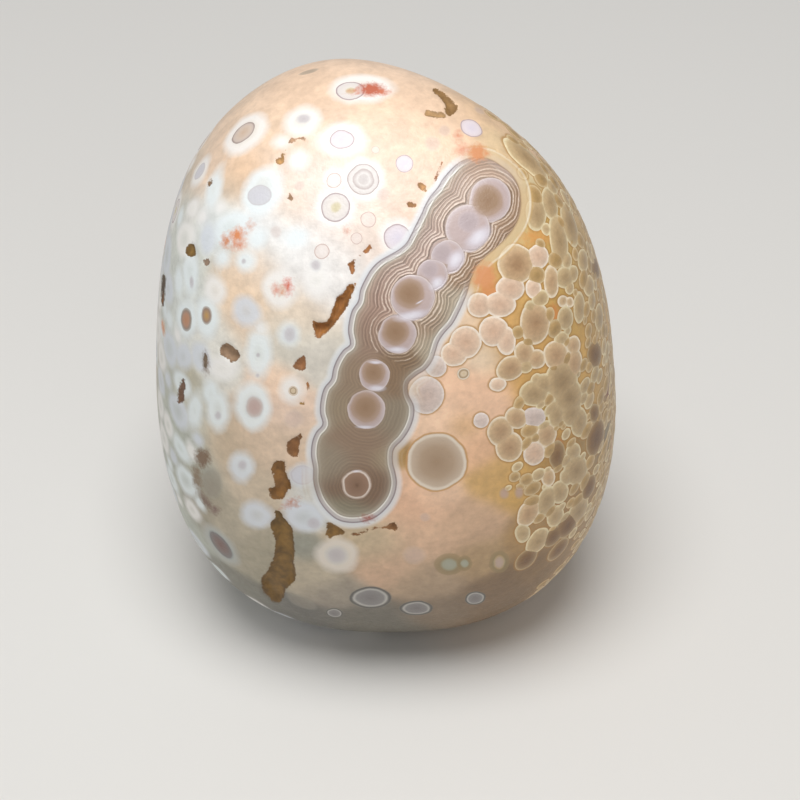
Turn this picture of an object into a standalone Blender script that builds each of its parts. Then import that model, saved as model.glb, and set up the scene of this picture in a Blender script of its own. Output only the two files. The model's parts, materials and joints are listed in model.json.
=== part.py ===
"""A wind-polished agate pebble, egg-shaped, that stands on a small flat spot at its blunt end.

Metres, +Z up. The origin is under the middle of the stone's box, on the surface it stands on.
Run with blender --background --python part.py, or from Blender's text editor.
"""

import math

import bmesh
import bpy
from mathutils import Vector

# Driving dimensions, in metres
WIDTH = 0.0462        # along X, side to side
DEPTH = 0.0390        # along Y, front to back
HEIGHT = 0.0620       # along Z, standing on the flat spot
SPOT_CUT = 0.0010     # how deep the flat spot is worn into the blunt end
SPOT_EASE = 0.0005    # height over which the spot's edge rounds up into the side

ROUGH_HALVES = (0.0240, 0.0205, 0.0320)   # half sizes of the rounded block before its faces wore
SQUARENESS = 2.45     # 2 is a plain ellipsoid, and more makes the shoulders fuller
TAPER = 0.11          # share by which the girth narrows towards the top
WORN_EDGE = 7         # how sharply a worn face meets the rest: a high power is a crisp edge
FACES_ACROSS = 28     # quads along each edge of the cube that is blown up into the stone

# Broad faces that the wind wore: the way each one faces, as azimuth and elevation in degrees
# (azimuth 0 faces -Y, 90 faces +X), and its distance from the stone's middle in metres
WORN_FACES = {
    "long slope at the upper right of the back": (140, 40, 0.0232),
    "crown towards the back left": (-140, 50, 0.0310),
    "crown towards the front": (0, 60, 0.0265),
    "right flank": (100, 15, 0.0265),
}

BODY_COLOUR = (0.62, 0.47, 0.34)   # linear, the mean of the peach, cream and olive chalcedony
BODY_ROUGHNESS = 0.30


def clear_scene():
    for obj in list(bpy.context.scene.objects):
        bpy.data.objects.remove(obj, do_unlink=True)


def direction(azimuth, elevation):
    """Unit vector for an azimuth and elevation in degrees, with azimuth 0 facing -Y."""
    turn = math.radians(azimuth)
    rise = math.radians(elevation)
    return Vector((math.sin(turn) * math.cos(rise), -math.cos(turn) * math.cos(rise), math.sin(rise)))


def evened(value):
    """Spreads a cube face's grid so that its squares stay alike once blown up to a ball."""
    return math.tan(value * math.pi / 4)


def stone_point(ray, worn_faces):
    """The stone's surface along a unit ray from its middle, before its flat spot is worn."""
    fullness = sum(abs(part / half) ** SQUARENESS for part, half in zip(ray, ROUGH_HALVES))
    closeness = fullness ** (WORN_EDGE / SQUARENESS)
    for facing, distance in worn_faces:
        closeness += (max(0, ray.dot(facing)) / distance) ** WORN_EDGE
    point = ray * closeness ** (-1 / WORN_EDGE)
    girth = 1 - TAPER * point.z / ROUGH_HALVES[2]
    return Vector((point.x * girth, point.y * girth, point.z))


def worn_height(height):
    """Height above the flat spot: 0 on it, and rounded where the side leaves it."""
    if height < -SPOT_EASE:
        return 0.0
    if height > SPOT_EASE:
        return height
    return (height + SPOT_EASE) ** 2 / (4 * SPOT_EASE)


def fit_to_box(verts):
    """Centres the stone over the origin and makes its box exactly the driving dimensions."""
    low = Vector([min(vert.co[axis] for vert in verts) for axis in range(3)])
    high = Vector([max(vert.co[axis] for vert in verts) for axis in range(3)])
    size = high - low
    foot = Vector(((low.x + high.x) / 2, (low.y + high.y) / 2, low.z))
    for vert in verts:
        offset = vert.co - foot
        vert.co = (
            offset.x * WIDTH / size.x,
            offset.y * DEPTH / size.y,
            offset.z * HEIGHT / size.z,
        )


def agate_material():
    material = bpy.data.materials.new("polished agate")
    material.use_nodes = True
    shader = material.node_tree.nodes["Principled BSDF"]
    shader.inputs["Base Color"].default_value = (*BODY_COLOUR, 1)
    shader.inputs["Roughness"].default_value = BODY_ROUGHNESS
    shader.inputs["Metallic"].default_value = 0
    return material


def build_agate():
    """A cube gridded into small squares and blown up into the stone: one closed body."""
    worn_faces = [
        (direction(azimuth, elevation), distance)
        for azimuth, elevation, distance in WORN_FACES.values()
    ]
    grid = bmesh.new()
    bmesh.ops.create_cube(grid, size=2)
    bmesh.ops.subdivide_edges(grid, edges=grid.edges, cuts=FACES_ACROSS - 1, use_grid_fill=True)
    for vert in grid.verts:
        ray = Vector([evened(part) for part in vert.co]).normalized()
        vert.co = stone_point(ray, worn_faces)
    spot_level = min(vert.co.z for vert in grid.verts) + SPOT_CUT
    for vert in grid.verts:
        vert.co.z = worn_height(vert.co.z - spot_level)
    fit_to_box(grid.verts)
    bmesh.ops.recalc_face_normals(grid, faces=grid.faces)

    mesh = bpy.data.meshes.new("agate")
    grid.to_mesh(mesh)
    grid.free()
    mesh.shade_smooth()
    mesh.materials.append(agate_material())
    agate = bpy.data.objects.new("agate", mesh)
    bpy.context.scene.collection.objects.link(agate)
    return agate


def main():
    clear_scene()
    build_agate()


main()
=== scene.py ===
"""Gobi agate: a wind-polished orbicular agate pebble, standing on a pale studio floor.

The stone's solid comes from the frame. This file gives it its fine surface, its orbs, its banded
chain, its stains and its brown pits, and sets the floor, lights and camera.
Marks are placed in millimetres across and up from the stone's middle, as seen from one side of it.
"""

import json
import math
import random
from functools import partial

import bmesh
import bpy
import numpy as np
from bpy.props import FloatProperty, FloatVectorProperty, IntProperty, PointerProperty
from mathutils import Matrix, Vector
from mathutils.bvhtree import BVHTree

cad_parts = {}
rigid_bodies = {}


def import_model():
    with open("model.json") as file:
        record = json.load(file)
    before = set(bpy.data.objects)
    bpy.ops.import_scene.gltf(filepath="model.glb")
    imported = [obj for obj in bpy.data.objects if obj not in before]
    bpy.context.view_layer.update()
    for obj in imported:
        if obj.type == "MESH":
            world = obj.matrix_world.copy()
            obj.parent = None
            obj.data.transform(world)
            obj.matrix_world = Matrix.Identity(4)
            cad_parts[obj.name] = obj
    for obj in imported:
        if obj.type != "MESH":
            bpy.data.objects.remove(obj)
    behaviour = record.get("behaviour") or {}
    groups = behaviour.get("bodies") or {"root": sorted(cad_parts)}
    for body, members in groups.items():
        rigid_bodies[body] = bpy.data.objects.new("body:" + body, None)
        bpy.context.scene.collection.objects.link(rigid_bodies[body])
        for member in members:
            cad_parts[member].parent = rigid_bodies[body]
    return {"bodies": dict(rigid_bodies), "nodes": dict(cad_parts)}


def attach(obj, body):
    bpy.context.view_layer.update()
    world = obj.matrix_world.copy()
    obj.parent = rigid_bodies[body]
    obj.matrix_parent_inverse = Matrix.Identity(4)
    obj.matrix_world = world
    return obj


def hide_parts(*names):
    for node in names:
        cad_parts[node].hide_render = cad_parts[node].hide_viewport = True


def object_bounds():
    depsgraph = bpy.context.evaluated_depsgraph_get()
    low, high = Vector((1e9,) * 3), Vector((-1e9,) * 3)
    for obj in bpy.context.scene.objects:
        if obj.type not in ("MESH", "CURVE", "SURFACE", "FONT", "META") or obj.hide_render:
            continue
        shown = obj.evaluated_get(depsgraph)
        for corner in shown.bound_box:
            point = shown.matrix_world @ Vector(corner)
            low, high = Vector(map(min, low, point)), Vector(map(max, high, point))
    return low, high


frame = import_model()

CAD_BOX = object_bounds()

bl_info = {
    "name": "Gobi Agate",
    "version": (1, 0, 0),
    "blender": (4, 5, 0),
    "location": "View3D > Sidebar > Gobi Agate",
    "description": "Builds a wind-polished orbicular agate pebble on a pale studio floor",
    "category": "Add Mesh",
}

BODY = next(iter(frame["bodies"]))
MM = 0.001


def hex_colour(text, alpha=1.0):
    """An sRGB hex colour as linear red, green, blue and alpha."""
    parts = [int(text[start:start + 2], 16) / 255 for start in (1, 3, 5)]
    linear = [part / 12.92 if part <= 0.04045 else ((part + 0.055) / 1.055) ** 2.4 for part in parts]
    return (*linear, alpha)


# Sides that marks are placed from: azimuth and elevation in degrees, where azimuth 0 looks along +Y,
# and the eye's shift to the right and up in mm. The front is the side that the camera sees.
SIDES = {
    "front": (0, 40, (1.35, -5.25)),
    "right": (90, 12, (0, 0)),
    "back": (180, 22, (0, 0)),
    "left": (-90, 12, (0, 0)),
}
EYE_DISTANCE = 222

# Zones of ground colour, blended into one another: colour, across, up and reach in mm
ZONES = {
    # The front's lowest zones, from 24 mm down, mix the stone's grey and brown with painted shade
    "front": [
        ("#EFCFB2", -1, 22, 5), ("#EFCFB2", -9, 25, 4), ("#E6CBB0", -15, 24, 2.5),
        ("#C9BDA8", -19.5, 18, 2.5), ("#F2D5B8", -11.3, 22.5, 1.6), ("#F3E2D6", -4, 16, 4),
        ("#F0CFB2", 3, 21, 4), ("#F1D2BC", 3, 16, 3), ("#E9C6A4", -14.7, 17.8, 1.6),
        ("#DFC6AA", -15.8, 16, 1.2), ("#E2E8E6", -17.5, 13, 2.2), ("#D2D6CE", -20.5, 13, 2),
        ("#F0F0EE", -11, 11, 3), ("#F7DEC8", -9.3, 14.2, 1.5), ("#EFD6BC", -13, 8, 1.8),
        ("#F2D6B8", -15, 5.5, 2.2), ("#ECD2B6", -13.5, 3.4, 2.2), ("#EBD7C0", -9.5, 3.6, 2),
        ("#F0ECE8", -7, 8, 2.4), ("#E6EAE6", -20, 4, 2.6), ("#C4C8BE", -22.3, 4, 1.4),
        ("#EAE6DC", -18, 0.4, 2.6), ("#E0DACC", -10.5, 1, 2.4), ("#F8D8BC", -11.2, -3.4, 1.6),
        ("#EED2BC", -10.6, -6.3, 1.8), ("#DDD6CA", -7.6, -1, 1.4), ("#D0CCBC", -19.6, -6, 2.2),
        ("#BCB49C", -19.8, -2.8, 1.2), ("#E0C6AC", -12, -9.5, 2.8), ("#CEB89C", -15.5, -9.5, 2.4),
        ("#CCBAA2", -13, -14, 2.4), ("#BEB29C", -15, -18, 2.4), ("#A89E88", -13, -20.5, 2.4),
        ("#A0947E", -18.5, -15, 2.6), ("#7E7A6C", -14, -24.6, 2.4), ("#D6D4CE", -7.5, -15, 1.8),
        ("#C2B49C", -7.5, -22.5, 2.2), ("#98978A", -8.2, -20.5, 1.2), ("#C9B494", -1, -19.8, 2.2),
        ("#D2AE90", 0, -21.8, 2.2), ("#A09484", -5, -24.4, 2), ("#767064", -1, -27.5, 3),
        ("#6E6A62", -9, -27, 3), ("#8A7660", 5.5, -26.4, 2.6), ("#E0BA9A", 4, -18.5, 3),
        ("#EDBE9C", 3.5, -16, 2), ("#F2CCAC", 5, -14.9, 1.6), ("#D2AE8E", 8, -18, 2.4),
        ("#B69C80", 4, -23.2, 2.4), ("#B49670", 9, -21, 2), ("#846A4E", 11, -25, 3),
        ("#8A6C48", 15.6, -22, 2.6), ("#B08C5C", 14.5, -18.6, 2), ("#F8D2B2", 5.2, -7.2, 2.6),
        ("#F8CCAA", 8.5, -4.8, 2.4), ("#DDB07C", 7.6, -7.7, 1.2), ("#EEBF98", 9, -10.4, 1.6),
        ("#F3DCC0", 9.8, -1, 1.4), ("#F0D2B2", 7.8, 3, 1.2), ("#D8AE70", 10.8, -13, 1.8),
        ("#D6AA62", 13.4, -13.6, 2), ("#B28A4C", 2.2, -10.5, 0.9), ("#D6B98E", 12.6, 18.5, 1.6),
        ("#DCC49C", 11, 20.8, 1.4), ("#D8BE8E", 13.6, 15.5, 1.6), ("#DDC690", 12.6, 11.2, 1.2),
        ("#D9CBA4", 14.6, 16.4, 1), ("#D2B26C", 15.6, 14, 1.6), ("#DCB06C", 14, 6, 2.4),
        ("#E0B06E", 13, 1, 2.6), ("#D8A860", 15, -2, 2), ("#CBA45C", 17.6, 4, 2.4),
        ("#D0AC66", 17, 9, 2.4), ("#BCA478", 20, 8, 2.2), ("#C2AE88", 17.6, 16.2, 1.6),
        ("#AE9A7A", 21.5, 3, 2), ("#96866C", 22.3, -3, 2), ("#CC9E56", 16.5, -8, 2.4),
        ("#B48C50", 17, -12, 2.4), ("#A88A5C", 20.8, -9, 2.2), ("#A2835A", 18.5, -16, 2.6),
        ("#7F7868", 22, -9, 1.6),
    ],
    "right": [
        ("#CBA868", 8, 18, 6), ("#D6AA62", -6, 4, 6), ("#CCA464", 6, 0, 7), ("#D0A45C", 0, -12, 6),
        ("#A6845A", -8, -20, 6), ("#C29C60", 10, -16, 6), ("#E6C4A0", 0, 25, 5),
    ],
    "back": [
        ("#CDA868", -16, 6, 7), ("#D2A864", -12, -10, 6), ("#E6BC9A", -3, 2, 6), ("#F0CFB4", 3, 14, 6),
        ("#EADCCA", 12, 8, 6), ("#D6D2C6", 16, -6, 6), ("#B4AE9C", 8, -18, 6), ("#C2A68A", -4, -20, 6),
        ("#EFD2B8", 0, 26, 6), ("#EBC6A8", 6, -4, 5),
    ],
    "left": [
        ("#D4D8D0", 6, 10, 6), ("#B9BDB0", 8, -8, 6), ("#E4D6C6", -4, 2, 7), ("#EECFB2", -10, 14, 6),
        ("#EED2B8", 0, 24, 6), ("#A9AC9E", -8, -16, 7), ("#E9C9AC", 0, -6, 4), ("#DAD8CE", -12, -2, 5),
    ],
}

# How much chance blurs the borders between the habits below: 0 leaves them sharp
MINGLING = 0.4

# What fills in between the listed marks: habit, across, up and reach in mm. Bare ground stays bare.
HABITS = {
    "front": [
        ("bare", 0, 18, 13), ("milk", -18, 2, 7), ("milk", -15, 10, 4), ("bare", -16, -9, 6),
        ("bare", -7, -2, 8), ("bare", 4, -8, 9), ("bare", 6, -22, 8), ("bubbles", 21, 2, 8),
        ("bubbles", 19, -10, 6), ("bubbles", 18, 12, 5), ("bare", -14, -20, 7), ("bare", -6, -18, 5),
        ("bare", 12, 4, 3), ("bare", 14.7, 10.9, 2), ("bare", 16.7, 3.3, 1.4), ("bare", 10, -5, 4),
        ("bare", 11, -19, 4), ("bubbles", 18.5, -15, 4), ("bare", 13, -21, 5),
    ],
    "right": [("bubbles", -4, 2, 14), ("bubbles", 6, -8, 12), ("bubbles", 2, 12, 10)],
    "back": [
        ("bubbles", -14, 0, 9), ("rings", 2, 20, 8), ("milk", 12, 2, 10), ("milk", 4, -18, 9),
        ("rings", 2, 0, 5),
    ],
    "left": [("milk", 0, 6, 12), ("milk", 0, -12, 12), ("rings", 0, 24, 7)],
}

# How each kind of orb is coloured, from its middle (0) to its edge (1): place, colour and cover
ORB_LOOKS = {
    "pale ring": [
        (0, "#C4BAB8", 0.9), (0.3, "#D2CAC6", 0.9), (0.36, "#E2DCD8", 0.9), (0.6, "#B6A6A2", 0.9),
        (0.66, "#E2DCD8", 0.9), (0.86, "#DCD4D0", 0.9), (0.93, "#A08A88", 1), (1, "#F2EAE4", 0),
    ],
    "ring orb": [
        (0, "#CDBF92", 0.9), (0.26, "#D8CCA8", 0.9), (0.4, "#E8E0D8", 0.95), (0.84, "#E2DAD6", 0.95),
        (0.94, "#9C8286", 1), (1, "#E2DAD6", 0.3),
    ],
    "lilac ring": [
        (0, "#DDD6E4", 0.9), (0.6, "#E6DCE4", 0.9), (0.84, "#E2D6DA", 0.9), (0.94, "#A68C92", 1),
        (1, "#EBDDD6", 0),
    ],
    "thin ring": [(0, "#F0E4DE", 0.5), (0.8, "#ECDCD4", 0.6), (0.92, "#B8968E", 0.9), (1, "#F0DCC8", 0)],
    "ring eye": [
        (0, "#D3B9A2", 1), (0.6, "#D9C6B6", 1), (0.8, "#D2C2B8", 1), (0.93, "#9C8880", 1),
        (1, "#E9E4E0", 0),
    ],
    "red eye": [
        (0, "#BE8660", 1), (0.5, "#BA8C70", 1), (0.74, "#9A8678", 1), (0.9, "#A6A098", 0.8),
        (1, "#D0D4D0", 0),
    ],
    "golden eye": [
        (0, "#C89C56", 1), (0.35, "#B8946C", 1), (0.66, "#A08676", 1), (0.88, "#B2A69C", 0.7),
        (1, "#D8DCD8", 0),
    ],
    "dot ring": [
        (0, "#D8C09C", 1), (0.36, "#E0CCB0", 1), (0.62, "#A88C68", 1), (0.8, "#EEE2D2", 1),
        (1, "#C89C64", 0.6),
    ],
    "tan core": [(0, "#C6AAA2", 1), (0.5, "#C9B0A8", 0.95), (0.75, "#CEBEB8", 0.8), (1, "#DCE4EA", 0)],
    "soft core": [(0, "#C2BABE", 0.8), (0.5, "#C8C2C6", 0.7), (1, "#DCE0E2", 0)],
    "faint core": [(0, "#C9B2AA", 0.5), (0.6, "#CDB8B0", 0.4), (1, "#D8CCC4", 0)],
    "lilac patch": [(0, "#D4D2DA", 0.85), (0.75, "#D2D0D6", 0.8), (0.9, "#C6BEC2", 0.7), (1, "#E2E8EC", 0)],
    "dark eye": [
        (0, "#7C5A52", 1), (0.45, "#7E6862", 1), (0.8, "#7C7674", 1), (0.9, "#A4A8A4", 0.9),
        (1, "#B4B8B0", 0),
    ],
    "dark ring": [
        (0, "#7E7876", 1), (0.6, "#8E8A88", 1), (0.72, "#C0BCB6", 1), (0.82, "#6E6A64", 1),
        (0.9, "#5A5650", 1), (1, "#8C8880", 0),
    ],
    "olive ring": [
        (0, "#ACAC9C", 1), (0.4, "#A8A690", 1), (0.6, "#94825C", 0.8), (0.9, "#9C865E", 0.6),
        (1, "#A88C68", 0),
    ],
    "mauve core": [(0, "#C6A99C", 0.9), (0.5, "#C4A694", 0.8), (0.8, "#C8A67C", 0.6), (1, "#C8A058", 0)],
    "moon orb": [
        (0, "#A88C70", 1), (0.5, "#B89E84", 1), (0.8, "#CDB8A2", 1), (0.87, "#EADCCA", 1),
        (0.91, "#EADCCA", 1), (0.95, "#C4945A", 1), (1, "#D2A06A", 0.5),
    ],
    "grey blob": [(0, "#968C7C", 0.7), (0.7, "#9A9284", 0.6), (1, "#A8A498", 0)],
}
CHAIN_LOOKS = {
    "chain orb": [
        (0, "#C2AEAC", 1), (0.75, "#C4B0AC", 1), (0.9, "#CCBCBC", 1), (0.95, "#DED0CC", 1),
        (1, "#94796A", 0.8),
    ],
    "tan core": [(0, "#9A7A5E", 1), (0.5, "#A4866C", 1), (0.8, "#B09480", 0.85), (1, "#C4B0AA", 0)],
    "lilac core": [(0, "#B4A4A6", 0.85), (0.6, "#BAABAE", 0.7), (1, "#C9BEC6", 0)],
    "chain eye": [
        (0, "#6E4E38", 1), (0.18, "#86664E", 1), (0.78, "#987862", 1), (0.86, "#EADCD0", 1),
        (1, "#B89C8A", 0.5),
    ],
    # White caps: white silica at the edges of the chain's orbs, partly painted highlight
    "white cap": [(0, "#F0EEF6", 0.9), (0.4, "#EAE6F0", 0.75), (1, "#D8D0DA", 0)],
}

# How many looks share one colour ramp, which has at most 32 stops
LOOKS_PER_RAMP = 5

# How each kind of bubble is coloured, from its edge inwards: depth in mm and colour
BUBBLE_LOOKS = {
    "pink": [(0, "#FAEEDE"), (0.12, "#F6E6D4"), (0.26, "#E8CCB2"), (0.7, "#E0C0A6"), (1.5, "#D4B094")],
    "lilac": [(0, "#F2E6DC"), (0.12, "#ECDED6"), (0.26, "#E0CEC4"), (0.7, "#DAC6BC"), (1.5, "#CEB8AC")],
    "tan": [(0, "#F8EAD2"), (0.12, "#F2E0C4"), (0.26, "#D8BA92"), (0.7, "#C8A680"), (1.5, "#B08C68")],
    "olive": [(0, "#F0E2C0"), (0.12, "#E6D4AC"), (0.26, "#CEB48A"), (0.7, "#BEA27A"), (1.5, "#A68A64")],
    "dusky": [(0, "#E4CEA4"), (0.14, "#D4B88A"), (0.3, "#C2A06E"), (0.8, "#B0905E"), (1.5, "#94744A")],
    "brown": [(0, "#CEB890"), (0.12, "#B89C74"), (0.26, "#A08058"), (0.7, "#8A6844"), (1.5, "#745232")],
}

# In mm: the depth at which a bubble's last colour is reached, and the skin that the listed ones gain
BUBBLE_REACH = 1.6
BUBBLE_SKIN = 0.1

# Orbs, listed one by one: across, up and radius, or half width, half height and turn, in mm and degrees.
# Those lower in the list lie over those above.
ORBS = {
    "front": {
        "grey blob": [(-17.5, -13.6, 1.2, 1.8), (-8.5, -25.5, 1.8, 0.7, -25), (-7.8, 27.6, 1.2, 0.3, 15)],
        "faint core": [
            (2.8, -20.8, 1.3, 1.1), (3.9, -17, 0.6, 0.5), (-9.3, -7.2, 1.2, 1.1), (-8.7, 16.2, 0.6),
            (-11.1, 11.6, 0.7, 0.8), (4.6, 20.4, 0.9), (5.8, 21.7, 0.7), (-0.3, 15.3, 0.8, 0.9),
            (9.3, 23.7, 0.7, 0.4, -35),
        ],
        "lilac patch": [(-12.7, 15.2, 1.3, 1.1), (-8.4, -12.8, 1.3, 1.1)],
        "soft core": [
            (-8.3, 22.9, 0.95, 0.65), (-19.5, 6.5, 0.35, 0.8), (-16.9, -6.8, 0.5, 0.6),
            (-14.4, -11.8, 0.7, 0.7), (-5, -20.8, 1.4, 1.2), (-7.3, -17.6, 0.95, 0.85),
            (-9.7, 1.3, 0.9, 1.1), (-12.8, -0.8, 0.3), (-12.9, -2.8, 0.3), (-7.1, 8.2, 0.7),
            (-14.3, 8.6, 0.35),
        ],
        "thin ring": [
            (-5.2, 16.7, 0.82), (-1.8, 12.8, 0.85), (-6.5, 9.6, 0.82), (-3, 10.9, 0.6), (-1.1, 19.8, 0.4),
        ],
        "lilac ring": [
            (-4.4, 20.8, 1.3, 1.05), (1.8, 18.4, 0.95), (8.5, 22, 1.25, 0.95, -30), (1.1, 11, 1.4),
        ],
        "pale ring": [(-2.3, 16.8, 1.65)],
        "ring orb": [(-5.1, 14, 1.5), (-3.6, 25.7, 1.5, 1.05)],
        "ring eye": [(-14.3, 21.5, 1.5, 0.85, 41)],
        "tan core": [(-13.2, -6, 1.1, 1.3)],
        "red eye": [(-20.05, 2.75, 0.7, 1.3)],
        "golden eye": [(-18.05, 3.2, 0.62, 1)],
        "dot ring": [(-9.4, -4.4, 0.5), (7.65, -2.65, 0.7)],
        "dark eye": [(-16.6, -19.8, 2, 0.85, -52)],
        "olive ring": [(6.3, -21.7, 1.6, 1.25), (7.8, -21.6, 0.8, 0.9), (11.3, -21.5, 1.1, 1.3)],
        "mauve core": [(11.3, -21.5, 0.6, 0.9), (11.8, -14.6, 0.6, 0.7), (13.3, -14.5, 0.6, 0.8)],
        "dark ring": [
            (-1.6, -25.1, 2.2, 1.3), (3, -26.1, 1.7, 0.9), (-5.2, -26.6, 0.9, 0.6),
            (8.9, -25.1, 1.1, 0.85),
        ],
        "moon orb": [(5.05, -11.5, 3.2, 3.1)],
    },
    "back": {
        "soft core": [(13, -11, 1.2), (5, -21, 1.1), (8, 19, 1)],
        "dark ring": [(9, -16, 1.9), (-9, 20, 1.2)],
        "ring orb": [(8, 10, 1.6), (3, 21, 1.3)],
        "pale ring": [(12, 4, 1.2), (14, -3, 1.5)],
        "ring eye": [(16, 9, 1.2), (10, -9, 1.3), (-3, 22, 1)],
        "red eye": [(17, 1, 1.2)],
        "moon orb": [(-9, -14, 2.7), (4, -12, 1.8)],
    },
    "left": {
        "lilac patch": [(4, -2, 1.2), (3, 21, 1)],
        "ring orb": [(2, 15, 1.4), (-4, -12, 1.6)],
        "pale ring": [(-9, 8, 1.2)],
        "tan core": [(-2, 4, 1.3), (-12, -6, 1.1), (6, -16, 1.2)],
        "ring eye": [(-4, 20, 1.1), (-10, 15, 1.1)],
        "soft core": [(-6, -3, 1)],
        "red eye": [(-5, -19, 1.3), (-8, 1, 0.9)],
    },
    "right": {"ring orb": [(10, 21, 1.4)], "moon orb": [(-2, -6, 2.2)]},
}

# Bubbles, listed one by one, which flow together where they meet: rows as for the orbs
BUBBLES = {
    "front": {
        "lilac": [(4, -4.8, 1.7, 1.75), (4.9, -1.9, 1, 1), (9.45, -7.3, 0.7), (14.8, -7, 1.1, 0.95)],
        "pink": [
            (15.2, 9.1, 1.1), (7.9, 0.5, 1.5), (6.75, -0.65, 1.25, 1.15), (10.7, 1.6, 1.4),
            (12, 0.6, 0.9, 1.3), (9.3, 4.2, 1.15), (11.4, 4.3, 1.5, 1.2), (12.4, 5.9, 1.4, 1.2),
            (11.1, -3.7, 0.8, 0.65), (14.7, 5.9, 0.7, 0.9), (14.8, -10.6, 1.05, 1.15),
        ],
        "tan": [
            (13, 8.3, 1.8, 1.9), (14.9, 2.4, 1.5, 2), (12.4, -2.1, 1.4, 1.1, 30), (13.8, -0.6, 1, 1.15),
            (15, -1.2, 0.9), (13, -7.1, 1.1, 1.05), (11.4, -8.4, 1.2, 1.4), (12.3, -10, 1.3, 1.4),
            (16, -8.8, 0.95, 1.2), (16.5, 6.6, 0.75, 1.5), (17, -0.8, 1.25, 1.4), (18.7, 0.2, 0.75, 0.85),
            (18.8, -1.6, 0.85, 1.4), (16.2, -13, 0.65, 0.85), (14.2, -16.6, 0.95, 1.4, -30),
            (17.6, 4.6, 0.5), (18.3, 4.5, 0.42),
        ],
        "olive": [
            (14.8, -4.6, 1.45, 1.2), (15.8, -3.7, 1.1, 0.95), (17.6, -3.4, 1.7, 2), (18.3, -5, 1.45, 1.8),
            (17, -6.8, 0.85, 1.3), (18.5, -6.6, 1.1, 1.3), (17.3, 10.8, 0.9, 2.6, 8), (15, 13.4, 1, 1.7),
            (16.4, 14.4, 0.8, 1.6, 10), (18.4, 12.3, 0.8, 2.2, 14), (19.3, -7.5, 0.85, 1.4),
            (19.3, 4, 0.6, 1.5), (17.9, 2.9, 0.8, 1.1), (19, -12.3, 1.3, 1.5), (18.7, -10.4, 0.75, 0.85),
            (16, -15.4, 0.9, 1.5, -15), (17.3, -14.5, 0.9, 1.1), (19.2, -16.4, 0.9, 1.5, -30),
            (15.1, -19.4, 0.9, 1.5, -35), (16.9, -16.9, 0.8, 1.1, -20), (18, -13, 0.7, 0.8),
            (13.6, -18.6, 0.7, 0.9), (19.7, 8.7, 0.55, 1.1), (17.9, 7, 0.9, 1), (21.3, 3, 0.5, 1.3),
            (20.3, 6.2, 0.6, 1), (14.1, 18.9, 2.9, 0.95, -43),
        ],
        "brown": [
            (20.9, -0.7, 0.8, 1.3), (21, -9, 0.95, 1.85, -12), (17.1, -10.8, 0.75, 1.4),
            (20.8, -6.6, 0.55, 0.9), (21, 8, 0.6, 1.1), (20.3, -14, 0.6, 1.3, -20),
            (18.1, -17.8, 0.9, 1.5, -35), (16.7, -18.9, 0.7, 1.2, -35), (14, -21.2, 0.8, 1.3, -45),
            (17.2, -20.2, 0.6, 1.4, -40),
        ],
    },
}

# Milky cells with soft edges: the tints, and for each tint rows as for the orbs
MILK_TINTS = {
    "white": "#FBF8F4",
    "cyan": "#F0F8FA",
    "lilac": "#DDE2EA",
    "grey": "#B4B6B0",
    "cream": "#E8DED2",
}
MILK = {
    "front": {
        "white": [
            (-14.2, 21.5, 2.6, 1.7, 41), (-8.4, 22.7, 1.9, 1.6, 15), (-4.5, 20.8, 2.5, 1.7),
            (-2.4, 26, 3.2, 1.6), (-5.1, 14, 2.1), (-8.9, 18.7, 1.1, 1), (-10.7, 5.8, 1.8, 1.9),
            (-9.5, -4.3, 1.3, 1.4), (-2.3, 16.8, 2.1), (-7, 6.7, 1.4, 1.8), (1.1, 11, 1.8),
            (-5.2, 16.8, 1.1), (-10.5, 20.5, 0.9, 0.7), (-16.5, -2.1, 1.7, 1.2),
        ],
        "cyan": [
            (-12.4, 15.7, 2, 2.7, -25), (-15.6, 12, 2.4, 1.6, 20), (-16.4, 8.9, 0.9, 1), (-14.2, 8.6, 1.1),
            (-12.9, 10.9, 1.1), (-17.3, 15.8, 0.9, 2.4, -12), (-20.1, 2.8, 1.2, 1.9), (-18, 3, 1.3, 2),
            (-12.8, -0.6, 1.4, 2.5), (-13.4, -5.9, 1.9, 2.4), (-9.7, 1.3, 1.1, 1.3), (-16.9, -6.3, 1.3, 2),
            (-19.2, -6.4, 0.9, 1.9, -12), (-14.4, -11.8, 1, 1.3), (-17.6, -4.6, 0.9, 1.5),
            (-19.7, 7.5, 0.9, 2.2), (-9, 11, 1.4, 1),
        ],
        "lilac": [
            (-13, -16.8, 1.7, 1.4), (-8.2, -17, 2, 1.6), (-8.4, -12.8, 1.4, 1.2), (-14.5, -12, 1.3, 1.6),
            (-9.5, -15.9, 1, 0.8),
        ],
        "grey": [(-16.6, -19.9, 2.5, 1.25, -52)],
        "cream": [(-5, -20.8, 2.2, 1.9)],
    },
    "back": {
        "white": [(8, 10, 2.2), (12, 4, 1.8), (3, 21, 1.8), (14, -3, 2.1), (8, 19, 1.7), (-3, 22, 1.7)],
        "cyan": [(16, 9, 2), (10, -9, 2.2), (13, -11, 2), (17, 1, 1.9)],
        "lilac": [(9, -16, 2.6), (5, -21, 1.8)],
    },
    "left": {
        "white": [(2, 15, 2), (-9, 8, 1.9), (-4, 20, 1.8), (3, 21, 1.7), (-10, 15, 1.9)],
        "cyan": [(-4, -12, 2.3), (-2, 4, 2.1), (-12, -6, 1.9), (4, -2, 2), (-6, -3, 1.8), (-8, 1, 1.6)],
        "lilac": [(6, -16, 2), (-5, -19, 2)],
    },
}

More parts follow.
